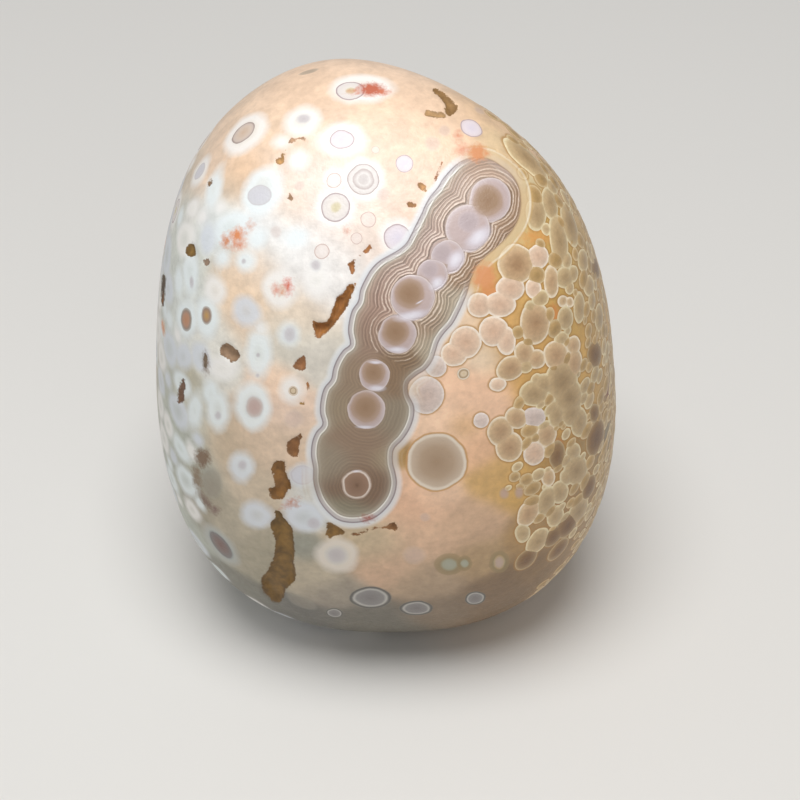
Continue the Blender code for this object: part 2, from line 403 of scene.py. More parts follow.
# The banded chain. Its outline: across and up in mm, and how strong its pale border is there
CHAIN_OUTLINE = {
    "front": [
        (9.3, 19, 0), (8.2, 18.9, 0.15), (7.3, 18.5, 0.6), (6.5, 17.8, 1), (5.7, 16.9, 1), (5.1, 15.9, 1),
        (4.4, 15.1, 1), (3.9, 14.2, 1), (3.5, 13.3, 1), (3, 12.3, 1), (2.5, 11.3, 1), (2, 10.4, 1),
        (1.2, 9.7, 1), (0.3, 9.2, 1), (-0.7, 8.6, 1), (-1.5, 7.8, 1), (-2.1, 6.8, 1), (-2.6, 5.7, 1),
        (-2.8, 4.6, 1), (-3.4, 3.7, 1), (-3.7, 2.6, 1), (-3.8, 1.5, 1), (-3.6, 0.3, 1), (-4.3, -0.3, 1),
        (-4.9, -1.2, 1), (-5.3, -2.2, 1), (-5.5, -3.2, 1), (-6.2, -4.1, 1), (-6.55, -5.4, 1),
        (-6.6, -6.6, 1), (-6.35, -7.7, 1), (-7, -8.5, 1), (-7.4, -9.5, 1), (-7.5, -10.8, 1),
        (-7.3, -12.1, 0.6), (-7.3, -13.4, 0.4), (-7, -14.6, 0.6), (-6.6, -15.5, 0.9), (-5.9, -16.4, 1),
        (-4.9, -17.2, 1), (-3.7, -17.5, 1), (-2.3, -17.4, 1), (-1, -16.9, 1), (0.1, -15.9, 1),
        (0.75, -14.8, 0.9), (1, -13.6, 0.8), (0.85, -12.5, 0.7), (0.6, -11.5, 0.6), (0.7, -10.2, 0.6),
        (1.6, -9.2, 0.8), (2.3, -8.1, 0.9), (2.7, -6.9, 0.9), (2.7, -5.8, 0.7), (2.2, -4.7, 0.3),
        (2.2, -3.6, 0.3), (3, -2.8, 0.5), (3.9, -2.2, 0.6), (4.6, -1.2, 0.6), (4.9, -0.3, 0.8),
        (5.2, 0.6, 0.9), (5.8, 1.5, 0.9), (6.6, 2.4, 0.9), (7.2, 3.5, 0.9), (7.7, 4.6, 0.8),
        (8.1, 5.6, 0.4), (8.4, 6.7, 0), (8.9, 7.9, 0), (9.8, 9, 0), (11, 10, 0), (12.1, 11.1, 0),
        (13, 12.4, 0), (13.4, 13.8, 0), (13.4, 15.2, 0), (13.1, 16.4, 0.1), (12.4, 17.4, 0.2),
        (11.4, 18.2, 0.2), (10.4, 18.8, 0.1),
    ],
    "back": [
        (-12.9, 9.4, 1), (-11.4, 11.2, 1), (-9.2, 11.2, 1), (-7.4, 9.2, 1), (-5.6, 7.8, 1), (-3.2, 6.6, 1),
        (-1.2, 5.2, 1), (0.6, 3, 1), (1.6, 0.6, 1), (2.8, -1.8, 1), (2.8, -4.4, 1), (0.8, -6.2, 1),
        (-1.8, -6, 1), (-3.4, -4, 1), (-4.6, -1.6, 1), (-6.4, -0.6, 1), (-8, 1.4, 1), (-9.6, 3, 1),
        (-11.4, 4.6, 1), (-13, 6.8, 1),
    ],
}

# Its orbs: across, up and radius in mm, and how strong the ridges round each one are
CHAIN_ORBS = {
    "front": [
        (10.3, 14.8, 2.3, 0.7), (8.1, 12, 2.4, 1), (6, 9.2, 1.8, 1), (4.5, 7.3, 1.6, 1), (2.6, 5, 2.3, 1),
        (1.1, 1.3, 2, 0.6), (-1.2, -2.8, 1.6, 0.22), (-2, -6.25, 2, 0.22), (-3, -13.75, 1.5, 0.25),
    ],
    "back": [
        (-10, 8, 1.6, 1), (-7.4, 5.2, 1.2, 1), (-5, 3.2, 1.7, 1), (-2.4, 0.4, 1.2, 0.6),
        (-0.6, -2.8, 1.8, 0.4),
    ],
}

# The colours of the chalcedony between its orbs: colour, across, up and reach in mm
CHAIN_ZONES = {
    "front": [
        ("#BCA494", 6.5, 15, 2.5), ("#BA9E8A", 9.5, 18, 1.5), ("#BBA296", 3.6, 11.6, 1.6),
        ("#B69C8E", 0, 7.6, 2), ("#AE9182", -1.6, 4, 2), ("#A6886E", 9, 9, 1.6),
        ("#A4866C", 12.8, 13.5, 1.4), ("#A8907A", 4.6, 2.6, 1.6), ("#C3B49E", 6.4, 3.6, 1),
        ("#BCAE98", 4.4, 0, 1), ("#9E8472", -2.4, 1.4, 2), ("#98826C", -3.8, -3, 2),
        ("#9A8870", -5.2, -6, 1.6), ("#957C66", -2, -9.6, 2.4), ("#9A8C78", -5.6, -11.5, 1.6),
        ("#7F644E", -3, -13.8, 2), ("#8B846E", -4, -16.4, 1.4), ("#948672", 0.4, -7.6, 1.4),
        ("#A69478", -0.2, -11, 1), ("#8C7258", 1.4, -2, 1.6),
    ],
    "back": [("#A8988A", -9, 8, 3), ("#A08E7A", -4, 3, 3), ("#8F8068", 0, -3, 3)],
}
CHAIN_MARKS = {
    "front": {
        "chain orb": [
            (10.35, 14.8, 2.15, 2.4, -20), (8.1, 11.9, 2.3, 2.45), (6.1, 9, 1.75), (4.6, 7.2, 1.6),
            (1.1, 1.3, 1.95), (2.65, 5, 2.3), (-1.2, -2.8, 1.6), (-2, -6.25, 1.97),
        ],
        "lilac core": [(5.5, 9.5, 1.2), (4.3, 7.8, 1), (8.2, 12.6, 1.2)],
        "tan core": [
            (10.1, 14.7, 1.8, 1.9), (2.3, 5.4, 1.75), (0.9, 1.6, 1.6), (-1.3, -2.5, 1.4), (-2.1, -6, 1.8),
        ],
        "chain eye": [(-3, -13.75, 1.55)],
        # White caps at the edges of the chain's orbs, partly painted highlight
        "white cap": [
            (9.2, 11, 1.9, 1, 40), (6.9, 8.7, 1, 1.5, -35), (5.1, 6.4, 1.1, 0.9, 30),
            (2.5, 3.2, 2.1, 0.6, 12), (1.1, -0.2, 1.4, 0.42), (-1.1, -1.5, 0.9, 0.22),
            (-0.9, -4.1, 1.1, 0.4), (-2.1, -7.95, 1.2, 0.22), (3.3, 4.6, 0.6, 0.12, 30),
            (-3, -12.4, 0.8, 0.18),
        ],
    },
    "back": {
        "chain orb": [(-10, 8, 1.6), (-7.4, 5.2, 1.2), (-5, 3.2, 1.7), (-2.4, 0.4, 1.2), (-0.6, -2.8, 1.8)],
        "lilac core": [(-7.4, 5.3, 1), (-2.4, 0.5, 1)],
        "tan core": [(-10, 8.2, 1.4), (-5, 3.4, 1.5), (-0.6, -2.6, 1.6)],
        # White caps under the back chain's orbs, partly painted highlight
        "white cap": [(-9.7, 6.8, 1.1, 0.3), (-4.8, 1.9, 1.1, 0.3), (-0.5, -4.2, 1.2, 0.3)],
    },
}

# Iron stains: colour, and across, up, half width, half height and turn
STAINS = {
    "front": [
        ("#C4603E", -1.5, 25.85, 1.4, 0.75), ("#D0704C", -0.6, 25.6, 0.8, 0.5),
        ("#D67C5C", -3, 25.6, 0.7, 0.25), ("#A8502C", -1.5, 25.8, 0.7, 0.25),
        ("#DC9464", 9.1, 19.5, 1.1, 0.9), ("#E2A284", 7.6, 19.8, 0.8, 0.6),
        ("#DE9474", 7.2, 21.2, 0.3, 0.5), ("#E28C54", -14.9, 11.2, 0.8, 0.8),
        ("#DC8860", -14.8, 10.2, 0.6, 0.4), ("#D68E66", -16.1, 10.6, 0.5, 0.7),
        ("#DCAE9A", -13.6, 12.2, 0.35, 0.45), ("#D8684C", -9.9, 6, 0.45, 0.75),
        ("#DC9060", -10.4, 5.7, 0.45, 0.4), ("#E4A490", -11, 5.8, 0.5, 0.5), ("#E09A68", 9.8, 7, 1.2, 1.4),
        ("#DC965E", 10.3, 5.7, 1.1, 1), ("#D49870", 10.7, 4.6, 0.9, 0.5), ("#E0A460", 15, 11, 1.5, 0.75),
        ("#DCA05C", 13.9, 10.4, 0.8, 0.3), ("#D89050", 16.7, 3.3, 0.65, 0.95),
        ("#C8784C", 17.1, -9.8, 0.55, 0.6), ("#8C5440", 22.3, -4.3, 0.6, 0.9),
        ("#A44C34", -1.9, -17.1, 0.65, 0.35), ("#C07850", -9.7, -15.6, 0.8, 0.3, 30),
        ("#C08468", -9, -15.8, 0.3, 0.15), ("#D09078", -4, 11.8, 0.15, 0.3),
        ("#C8A04C", 14.4, -8.7, 0.5, 0.9), ("#7C5E42", -18.4, -11.1, 0.9, 1),
        ("#8A745C", -19, -13, 0.5, 1.4), ("#7E6454", -18.1, -15.4, 0.4, 1.1, 35),
        ("#84685C", -17.2, -16.3, 0.5, 0.5), ("#8A7464", -18.1, -1.6, 0.35, 0.9),
        ("#BC9C4C", 16, -6.8, 0.5, 0.9),
    ],
    "back": [
        ("#DC9464", 2, 10, 1.4, 1), ("#D0704C", -14, 0, 0.8, 1.2), ("#E0A070", 6, -2, 0.8, 1.1),
        ("#D67C5C", 13, 16, 0.9, 0.7),
    ],
    "left": [("#E09A68", 0, 9, 0.8, 1.1), ("#D67C5C", -6, 12, 0.6, 0.6), ("#DC9464", 8, 4, 0.8, 0.8)],
    "right": [("#DC9464", 2, 6, 1, 1.4), ("#C8784C", -8, -12, 0.9, 1.1)],
}

# Pits and brown windows: colour, how deep each one is as a share of the full depth, and its outline in mm
PITS = {
    "front": [
        ("#A07A4A", 0.5, [
            (4.6, 25.9), (5.1, 25.85), (5.7, 25.5), (6.2, 25.1), (6.6, 24.7), (6.9, 24.3), (7.15, 24),
            (6.9, 23.6), (6.5, 23.3), (6, 23.25), (5.9, 23.9), (5.85, 24.4), (5.6, 24.8), (5.2, 25.2),
            (4.7, 25.6),
        ]),
        ("#BC9464", 0.3, [
            (3.85, 23.75), (4.5, 23.65), (5.1, 23.6), (5.75, 23.45), (6, 23.2), (5.6, 23), (4.5, 23.1),
            (3.9, 23.2),
        ]),
        ("#BE9058", 0.4, [
            (-11.2, 18.7), (-10.6, 19.1), (-10.3, 19.6), (-10.05, 19.7), (-10.15, 19.2), (-10.4, 18.4),
            (-10.7, 18.25),
        ]),
        ("#D4A884", 0.2, [
            (-9.75, 20.5), (-9.6, 20.95), (-9, 20.9), (-8.2, 20.98), (-8.05, 20.75), (-9.1, 20.7),
            (-9.6, 20.4),
        ]),
        ("#B48C68", 0.3, [(-9.8, 15.4), (-9.3, 14.9), (-9.5, 14.65), (-9.85, 14.75)]),
        ("#A08060", 0.2, [(-17.9, 16.1), (-17.8, 16.6), (-17.5, 16.95), (-17.5, 16.5), (-17.7, 16.1)]),
        ("#8C6C38", 0.5, [
            (-20.1, 9.6), (-19.8, 10.3), (-19.3, 10.25), (-19.1, 9.7), (-19.2, 9.15), (-19.8, 9.1),
        ]),
        ("#A48C78", 0.3, [(-18.4, 8.75), (-17.9, 8.85), (-17.7, 8.5), (-18.1, 8.1), (-18.2, 8.4)]),
        ("#B4743C", 0.6, [
            (-1.6, 10.35), (-1.5, 9.9), (-2.1, 9.4), (-2.8, 9.1), (-3.2, 8.5), (-3.2, 7.6), (-3.5, 7.1),
            (-3.6, 7.8), (-4, 8.15), (-3.4, 8.7), (-2.7, 9.2), (-2.1, 9.8), (-1.9, 10.2),
        ]),
        ("#A87038", 1, [
            (-3.1, 6.4), (-3.8, 6.2), (-4.2, 5.5), (-5, 4.9), (-5.3, 3.9), (-5.7, 2.9), (-6.3, 2.4),
            (-7.4, 2.6), (-7.2, 1.8), (-7, 0.8), (-6.1, 1.4), (-5.2, 2.3), (-4.4, 3.4), (-3.8, 4.4),
            (-3.5, 5.2), (-3.2, 5.9),
        ]),
        ("#A28468", 0.6, [
            (-16.7, 0), (-16.3, 0.3), (-15.8, 0.35), (-15.3, 0), (-14.7, -0.6), (-14.8, -1.1),
            (-15.4, -1.5), (-16, -1.1), (-16.6, -0.7),
        ]),
        ("#8A7864", 0.2, [(-18.2, -0.6), (-18, -0.7), (-17.95, -1.6), (-18.15, -2.3), (-18.3, -1.6)]),
        ("#80604C", 0.5, [
            (-20.9, -5.5), (-20.8, -4.4), (-20.6, -3.6), (-20.3, -3.1), (-20.15, -3.7), (-20.3, -4.6),
            (-20.3, -5.4),
        ]),
        ("#5E5040", 0.4, [(-22.45, 7.2), (-22.1, 7), (-22.2, 5.6), (-22.3, 4.2), (-22.5, 4.4), (-22.5, 6)]),
        ("#A8744A", 0.5, [
            (-9.35, -1.9), (-8.9, -1.3), (-8.2, -0.85), (-8.1, -2.1), (-8.5, -2.4), (-9, -2.1),
        ]),
        ("#C08040", 0.2, [(-7.95, -3.6), (-7.8, -3.6), (-7.7, -4.2), (-7.85, -4.5)]),
        ("#B08848", 0.2, [(-8.65, -5.6), (-8.3, -5.5), (-8.2, -5.8), (-8.5, -5.9)]),
        ("#9C6C40", 0.6, [
            (-8.4, -8.5), (-9, -8.9), (-9.7, -9.4), (-10, -9.9), (-9.8, -10.8), (-8.9, -10.95),
            (-8.8, -10), (-8.6, -9.2),
        ]),
        ("#8C6230", 0.7, [
            (-11.3, -11.6), (-10.9, -11.4), (-10.2, -11.5), (-10.1, -12.5), (-9.7, -13.5), (-9.5, -14.2),
            (-9.9, -14.3), (-10.3, -15.1), (-11, -15.2), (-11.6, -14.9), (-11.8, -14.2), (-11.2, -14),
            (-11.2, -13.2), (-11.5, -12.3),
        ]),
        ("#80602C", 0.7, [
            (-11.2, -16.45), (-10.6, -16.4), (-10.4, -16.9), (-9.8, -17.6), (-9.4, -18.3), (-9.3, -19.5),
            (-9.2, -20.5), (-9.3, -21.5), (-9.1, -22.6), (-9.2, -23.4), (-9.9, -24), (-10.2, -24.4),
            (-10.3, -25), (-10.8, -25.5), (-11.5, -25.3), (-12.2, -24.5), (-12.5, -23.7), (-12.4, -23),
            (-11.9, -22.4), (-11.5, -21.6), (-11.2, -20.8), (-11.1, -20), (-11.2, -19), (-11.5, -18.2),
            (-11.6, -17.5), (-11.3, -17.3), (-11.1, -17),
        ]),
        ("#94703C", 0.6, [
            (-5.9, -17.5), (-4.8, -18), (-4.1, -18.5), (-4.8, -18.8), (-6, -19.1), (-5.95, -18.3),
        ]),
        ("#9C6C40", 0.5, [
            (-3.7, -18.65), (-2.6, -18.5), (-1.5, -18.05), (-0.2, -17.9), (0.9, -17.5), (1, -18.4),
            (0.2, -18.1), (-0.8, -18.1), (-1.8, -18.35), (-2.8, -18.85),
        ]),
        ("#C07840", 0.4, [(5.65, 18.6), (5.4, 17.9), (5.1, 17), (4.65, 16.4), (4.9, 17.1), (5.3, 18.1)]),
        ("#C8945C", 0.2, [(3.05, 16.3), (3.5, 16.5), (4, 15.9), (3.8, 15.5), (3.3, 15.9)]),
        ("#C08850", 0.3, [(2.1, 14.5), (2.6, 14.5), (3.1, 14.25), (2.8, 14), (2.15, 14)]),
    ],
    "back": [
        ("#A87038", 0.8, [
            (2, 6), (3, 5.4), (3.4, 3), (4.6, 0.6), (4.2, -0.4), (3.2, 0.6), (2.4, 2.6), (1.6, 4.4),
        ]),
        ("#80602C", 0.6, [(-2, -12), (-0.8, -12.4), (0.2, -14.6), (-0.6, -17), (-1.8, -16), (-2.4, -13.6)]),
        ("#BE9058", 0.4, [(11, 14), (12, 13.6), (11.6, 12.6), (10.8, 13)]),
        ("#8C6C38", 0.5, [(-13, 14), (-12, 14.4), (-11.4, 13.2), (-12.2, 12.4), (-13.2, 13)]),
    ],
    "left": [
        ("#9C6C40", 0.7, [(0, -4), (1, -4.6), (1.6, -7), (0.8, -8.4), (0, -7.2), (-0.6, -5)]),
        ("#80604C", 0.5, [(-8, -9), (-7, -9.2), (-6.6, -10.4), (-7.6, -11), (-8.4, -10)]),
        ("#A8744A", 0.4, [(6, 7), (6.8, 6.6), (6.6, 5.6), (5.8, 6)]),
    ],
}

# Distance of a point that no outline is near, and depth of one that no mark holds, in mm
FAR = 1e3
OUTSIDE = -9.0
TINY = 1e-9

# How squarely a point has to face a side to take its outlines, and a face the front to count as shown
SEEN = 0.05
SHOWN = 0.08

# How far a mark is drawn out at most where the surface leans away, as a share of its size
LONGEST_ROUND = 1.35
LONGEST_OVAL = 2.5

# Weight that a zone keeps far beyond its reach, so that every point gets a colour and a habit
TRACE = 1e-4

# Fillers: how many spots are tried, and for bubbles and for the rest, the first radius in mm, how much
# smaller the last one is, and the least and most that chance makes of it. Then how stretched they are.
FILLER_TRIES = 9000
BUBBLE_SIZES = (2.2, 1.7, 0.7, 1.15)
CELL_SIZES = (1.5, 0.9, 0.7, 1.1)
FILLER_STRETCH = (0.1, 0.75)
# Bubbles on the side that shows stay smaller: the largest radius, and how much smaller chance makes them
LARGEST_SHOWN = 0.95
SHOWN_SHARES = (0.6, 1.0)
# How far fillers stay from the chain, in mm, and how large each kind is drawn in the room it takes
CHAIN_CLEARANCE = 0.4
FILLER_SHARES = {"rings": 0.7, "milk": 1.25, "cores of milk": 0.6}
# How close fillers may stand, as a share of the sum of two radii, and which kinds they are
FILLER_SPACING = {"shown bubbles": 0.66, "bubbles": 0.72, "milk": 1.1, "rings": 2.2}
FILLER_KINDS = {
    "shown bubbles": ["dusky", "dusky", "olive"],
    "bubbles": ["pink", "tan", "tan", "olive", "olive", "dusky", "brown"],
    "milk": ["white", "cyan", "lilac"],
    "rings": ["thin ring", "lilac ring", "pale ring", "faint core"],
    "cores of milk": ["soft core", "faint core", "tan core", "lilac patch"],
}
CORE_CHANCE = 0.6

# The most marks that may overlap at one spot, and how far in mm beyond its edge a mark may still show
ORB_SEATS = 3
BUBBLE_SEATS = 4
CHAIN_SEATS = 5
SEAT_REACH = 0.75

# How fine the stone's random patterns are, in swells per millimetre
SWELLS = {"clouds": 0.45, "mottle": 1.3, "grain": 2.4, "wander": 0.55, "murk": 1.1, "grit": 1.6}

# In mm: how far outlines wander, how soft an orb's and a bubble's edge is, the width of the painted
# shade line round bubbles, and the distance from one ridge of the chain to the next
WANDER = 0.42
ORB_EDGE = 0.03
BUBBLE_EDGE = 0.04
BUBBLE_SHADE_LINE = 0.22
RIDGE_PERIOD = 0.33

# Looks that share a ramp have a section of it each, and end a little before the next one begins
SECTION_END = 0.995
BUBBLE_SECTION_END = 0.92

# The golden-brown line of painted shade round bubbles, where they meet the ground, the darker colour
# along the inside of pits' rims, and pale bands on the ridges' crests, partly painted highlight
BUBBLE_SHADE_LINE_COLOUR = "#B0803F"
PIT_RIM_COLOUR = "#5A4024"
RIDGE_CREST_AND_HIGHLIGHT_COLOUR = "#F0E0D0"

# How much lighter or darker than its kind a mark may be, and how much the grain does to a bubble
ORB_TONES = 0.09
BUBBLE_TONES = 0.07
BUBBLE_GRAIN = 0.55

# The setting that a node's mode stands for, where it isn't its operation
NODE_MODES = {
    "Mix": "data_type", "MapRange": "interpolation_type", "TexNoise": "noise_dimensions",
    "GeometryNodeInputNamedAttribute": "data_type",
}

# What the shader knows of each mark, and of the place it is asked about
MARK_INPUTS = [(name, "Vector") for name in ("Place", "Centre", "Look", "Stretch")]

# The relief, in metres, the seed of what is left to chance, and the bound of seeds that it draws
PIT_DEPTH = 0.6 * MM
WAVE_HEIGHT = 0.08 * MM
DOME_HEIGHT = 0.06 * MM
GRIT_HEIGHT = 0.12 * MM
SEED = 7
LARGEST_SEED = 1 << 30

# The stage: the height of the stone's middle and half the floor's width in metres, the camera in mm
STONE_MIDDLE = (CAD_BOX[0][2] + CAD_BOX[1][2]) / 2
FLOOR_HALF_WIDTH = 1.5
SENSOR_WIDTH = 36
LENS = 100


def direction(azimuth, elevation):
    """The way out from the stone at an azimuth and elevation in degrees, with azimuth 0 along -Y."""
    turn = math.radians(azimuth)
    rise = math.radians(elevation)
    return Vector((math.sin(turn) * math.cos(rise), -math.cos(turn) * math.cos(rise), math.sin(rise)))


class Side:
    """One way of looking at the stone, from which marks are placed on it in millimetres."""

    def __init__(self, azimuth, elevation, shift, middle):
        turn = math.radians(azimuth)
        self.right = Vector((math.cos(turn), math.sin(turn), 0))
        self.ahead = -direction(azimuth, elevation)
        self.above = self.right.cross(self.ahead)
        self.middle = middle
        self.eye = middle - self.ahead * EYE_DISTANCE + self.right * shift[0] + self.above * shift[1]

    def surface_point(self, tree, across, up):
        """The point of the surface that shows at that place, seen from this side, and its normal."""
        target = self.middle + self.right * across + self.above * up
        point, normal = tree.ray_cast(self.eye, (target - self.eye).normalized())[:2]
        if point is None:
            point, normal = tree.find_nearest(target)[:2]
        return point, normal

    def scale(self, points):
        """How much larger each point shows than it would as far off as the stone's middle."""
        depths = (np.array(points) - np.array(self.eye)) @ np.array(self.ahead)
        return (self.middle - self.eye).dot(self.ahead) / depths

    def places(self, points):
        """How far across and up each point shows, in mm, in the plane through the stone's middle."""
        offsets = points - np.array(self.eye)
        shift = self.eye - self.middle
        scale = self.scale(points)
        ways = (self.right, self.above)
        return np.stack([(offsets @ np.array(way)) * scale + shift.dot(way) for way in ways], axis=1)

    def facing(self, normals):
        """How squarely each normal faces this side: 1 is straight at it."""
        return -(normals @ np.array(self.ahead))


class Mark:
    """A round or oval mark on the surface: its kind, centre, smaller radius, long way and tone."""

    def __init__(self, kind, centre, radius, stretch=(0, 0, 0), tone=0.0):
        self.kind = kind
        self.centre = np.array(centre)
        self.radius = radius
        self.stretch = np.array(stretch)
        self.tone = tone

    def depth(self, points):
        """How far inside the mark's edge each point is, in mm: negative outside it."""
        away = points - self.centre
        square = np.einsum("ij,ij->i", away, away) - (away @ self.stretch) ** 2
        return self.radius - np.sqrt(np.maximum(square, 0))


class Surface:
    """The stone's fine mesh as arrays in millimetres, and where the marks of each side fall on it."""

    def __init__(self, mesh):
        self.mesh = mesh
        self.points = self.read(mesh.vertices, "co") / MM
        self.normals = self.read(mesh.vertex_normals, "vector")
        self.centres = self.read(mesh.polygons, "center") / MM
        self.face_normals = self.read(mesh.polygons, "normal")
        self.areas = np.empty(len(mesh.polygons), np.float32)
        mesh.polygons.foreach_get("area", self.areas)
        faces = [list(face.vertices) for face in mesh.polygons]
        self.tree = BVHTree.FromPolygons([Vector(point) for point in self.points], faces)
        self.sides = {name: Side(*row, Vector((0, 0, STONE_MIDDLE / MM))) for name, row in SIDES.items()}

    @staticmethod
    def read(items, name):
        """One vector for each item, as an array."""
        values = np.empty(len(items) * 3, np.float32)
        items.foreach_get(name, values)
        return values.reshape(-1, 3).astype(float)

    def store(self, name, values, domain="POINT"):
        """Keeps one number or one vector for each point or face, as an attribute of the mesh."""
        values = np.asarray(values, np.float32)
        kind, part = ("FLOAT_VECTOR", "vector") if values.ndim == 2 else ("FLOAT", "value")
        self.mesh.attributes.new(name, kind, domain).data.foreach_set(part, values.ravel())

    def place(self, side, across, up):
        """The point that shows at that place of a side."""
        return np.array(self.sides[side].surface_point(self.tree, across, up)[0])

    def shown(self, name):
        """Which points a side shows, and where in it they are."""
        side = self.sides[name]
        seen = np.flatnonzero(side.facing(self.normals) > SEEN)
        return seen, side.places(self.points[seen])

    def mark(self, side_name, kind, row, tone=0.0):
        """A mark that looks as its row says when seen from its side, however the surface leans there."""
        side = self.sides[side_name]
        across, up, half_width, *rest = row
        half_height = rest[0] if rest else half_width
        turn = math.radians(rest[1]) if len(rest) > 1 else 0.0
        point, normal = side.surface_point(self.tree, across, up)
        first = (side.right - normal * side.right.dot(normal)).normalized()
        second = normal.cross(first)
        seen = np.array([[way.dot(axis) for way in (first, second)] for axis in (side.right, side.above)])
        seen *= side.scale(point)
        ways = np.array([[math.cos(turn), math.sin(turn)], [-math.sin(turn), math.cos(turn)]])
        shape = np.outer(ways[0], ways[0]) / half_width ** 2 + np.outer(ways[1], ways[1]) / half_height ** 2
        values, flat_ways = np.linalg.eigh(seen.T @ shape @ seen)
        small = values[1] ** -0.5
        longest = (LONGEST_OVAL if rest else LONGEST_ROUND) * max(half_width, half_height)
        large = max(min(max(values[0], TINY) ** -0.5, longest), small)
        long_way = first * flat_ways[0, 0] + second * flat_ways[1, 0]
        stretch = np.array(long_way) * math.sqrt(1 - (small / large) ** 2)
        return Mark(kind, point, small, stretch, tone)

    def marks(self, rows_by_side, dice, spread):
        """All marks of a table of sides and kinds, in its order and in tones that vary by the spread."""
        return [
            self.mark(side, kind, row, dice.uniform(-spread, spread))
            for side, kinds in rows_by_side.items() for kind, rows in kinds.items() for row in rows
        ]


def placed(name, data):
    """A new object in the scene, with that mesh, light or camera."""
    obj = bpy.data.objects.new(name, data)
    bpy.context.scene.collection.objects.link(obj)
    return obj


def applied_mesh(obj):
    """The object's mesh with its modifiers applied. The object itself is removed."""
    graph = bpy.context.evaluated_depsgraph_get()
    mesh = bpy.data.meshes.new_from_object(obj.evaluated_get(graph))
    bpy.data.objects.remove(obj, do_unlink=True)
    return mesh


def smooth_stone_mesh():
    """The solid's surface in fine even squares: a copy of its loose triangles, merged and refined."""
    rough = frame["nodes"]["agate"].data.copy()
    grid = bmesh.new()
    grid.from_mesh(rough)
    bmesh.ops.remove_doubles(grid, verts=grid.verts, dist=1e-6)
    bmesh.ops.join_triangles(
        grid, faces=grid.faces, angle_face_threshold=math.radians(40), angle_shape_threshold=math.radians(60)
    )
    grid.to_mesh(rough)
    grid.free()
    rough.materials.clear()
    for name in [layer.name for layer in rough.uv_layers]:
        rough.uv_layers.remove(rough.uv_layers[name])
    rough.shade_smooth()
    stone = placed("rough stone", rough)
    refine = stone.modifiers.new("refine", "SUBSURF")
    refine.levels = refine.render_levels = 2
    return applied_mesh(stone)


def smoothed(outline, steps=4):
    """A closed outline with curved runs between its corners, which it still passes through."""
    corners = np.array(outline, float)
    before, after, beyond = (np.roll(corners, turn, axis=0) for turn in (1, -1, -2))
    runs = []
    for step in range(steps):
        t = step / steps
        runs.append(0.5 * (
            2 * corners + (after - before) * t + (2 * before - 5 * corners + 4 * after - beyond) * t ** 2
            + (3 * corners - before - 3 * after + beyond) * t ** 3
        ))
    return np.stack(runs, axis=1).reshape(-1, corners.shape[1])


def outline_distance(places, outline):
    """Distance of each place from a closed outline, negative inside it, and the outline's third
    number at the nearest point of it, if it has one."""
    nearest = np.full(len(places), FAR)
    extra = np.zeros(len(places))
    inside = np.zeros(len(places), bool)
    for start, end in zip(outline, np.roll(outline, -1, axis=0)):
        run = end[:2] - start[:2]
        share = np.clip(((places - start[:2]) @ run) / max(run @ run, TINY), 0, 1)
        gaps = np.linalg.norm(places - start[:2] - share[:, None] * run, axis=1)
        closer = gaps < nearest
        nearest = np.where(closer, gaps, nearest)
        if len(start) > 2:
            extra = np.where(closer, start[2] + (end[2] - start[2]) * share, extra)
        spans = (start[1] > places[:, 1]) != (end[1] > places[:, 1])
        if abs(run[1]) > TINY:
            crossing = start[0] + (places[:, 1] - start[1]) * run[0] / run[1]
            inside ^= spans & (places[:, 0] < crossing)
    return np.where(inside, -nearest, nearest), extra


def nearness(points, centre, reach):
    """How strongly a zone rules at each point: fully at its centre, and by a trace far away."""
    gap = np.linalg.norm(points - centre, axis=1) / reach
    return np.exp(-gap * gap) + TRACE / (1 + gap ** 4)


def blend_zones(surface, zones_by_side):
    """The zones' colours blended over the stone's points."""
    sums = np.zeros((len(surface.points), 3))
    weights = np.zeros((len(surface.points), 1))
    for side, zones in zones_by_side.items():
        for colour, across, up, reach in zones:
            weight = nearness(surface.points, surface.place(side, across, up), reach)[:, None]
            sums += weight * np.array(hex_colour(colour)[:3])
            weights += weight
    return sums / weights


def array_dice(dice):
    """A generator of whole arrays of random numbers, seeded by the dice."""
    return np.random.default_rng(dice.randrange(LARGEST_SEED))


def habits_of_faces(surface, dice):
    """Which habit rules at each face. They mingle where they meet."""
    kinds = ["bare", "rings", "milk", "bubbles"]
    weights = np.zeros((len(surface.centres), len(kinds)))
    for side, rows in HABITS.items():
        for habit, across, up, reach in rows:
            centre = surface.place(side, across, up)
            weights[:, kinds.index(habit)] += nearness(surface.centres, centre, reach)
    weights *= array_dice(dice).lognormal(0, MINGLING, weights.shape)
    return np.array(kinds)[weights.argmax(axis=1)]


def shape_chain(surface):
    """Stores how far each point is from the chain's edge and from its orbs, and returns the first."""
    count = len(surface.points)
    edge, border, orbs, strength = (np.full(count, value) for value in (FAR, 0.0, FAR, 0.0))
    for name, outline in CHAIN_OUTLINE.items():
        seen, places = surface.shown(name)
        edge[seen], border[seen] = outline_distance(places, smoothed(outline))
        for across, up, radius, force in CHAIN_ORBS[name]:
            gap = np.linalg.norm(places - (across, up), axis=1) - radius
            strength[seen] = np.where(gap < orbs[seen], force, strength[seen])
            orbs[seen] = np.minimum(gap, orbs[seen])
    surface.store("chain edge", edge)
    surface.store("chain border", border)
    surface.store("chain orbs", orbs)
    surface.store("ridge strength", strength)
    surface.store("chain ground", blend_zones(surface, CHAIN_ZONES))
    return edge


def cut_pits(surface):
    """Stores each point's distance from the edge of the nearest pit, how deep that is, and its colour."""
    distance = np.full(len(surface.points), FAR)
    depth = np.zeros(len(surface.points))
    colours = np.zeros((len(surface.points), 3))
    for name, pits in PITS.items():
        seen, places = surface.shown(name)
        for colour, share, outline in pits:
            gap = outline_distance(places, smoothed(outline))[0]
            closer = gap < distance[seen]
            depth[seen[closer]] = share
            colours[seen[closer]] = hex_colour(colour)[:3]
            distance[seen[closer]] = gap[closer]
    surface.store("pit edge", distance)
    surface.store("pit share", depth)
    surface.store("pit colour", colours)


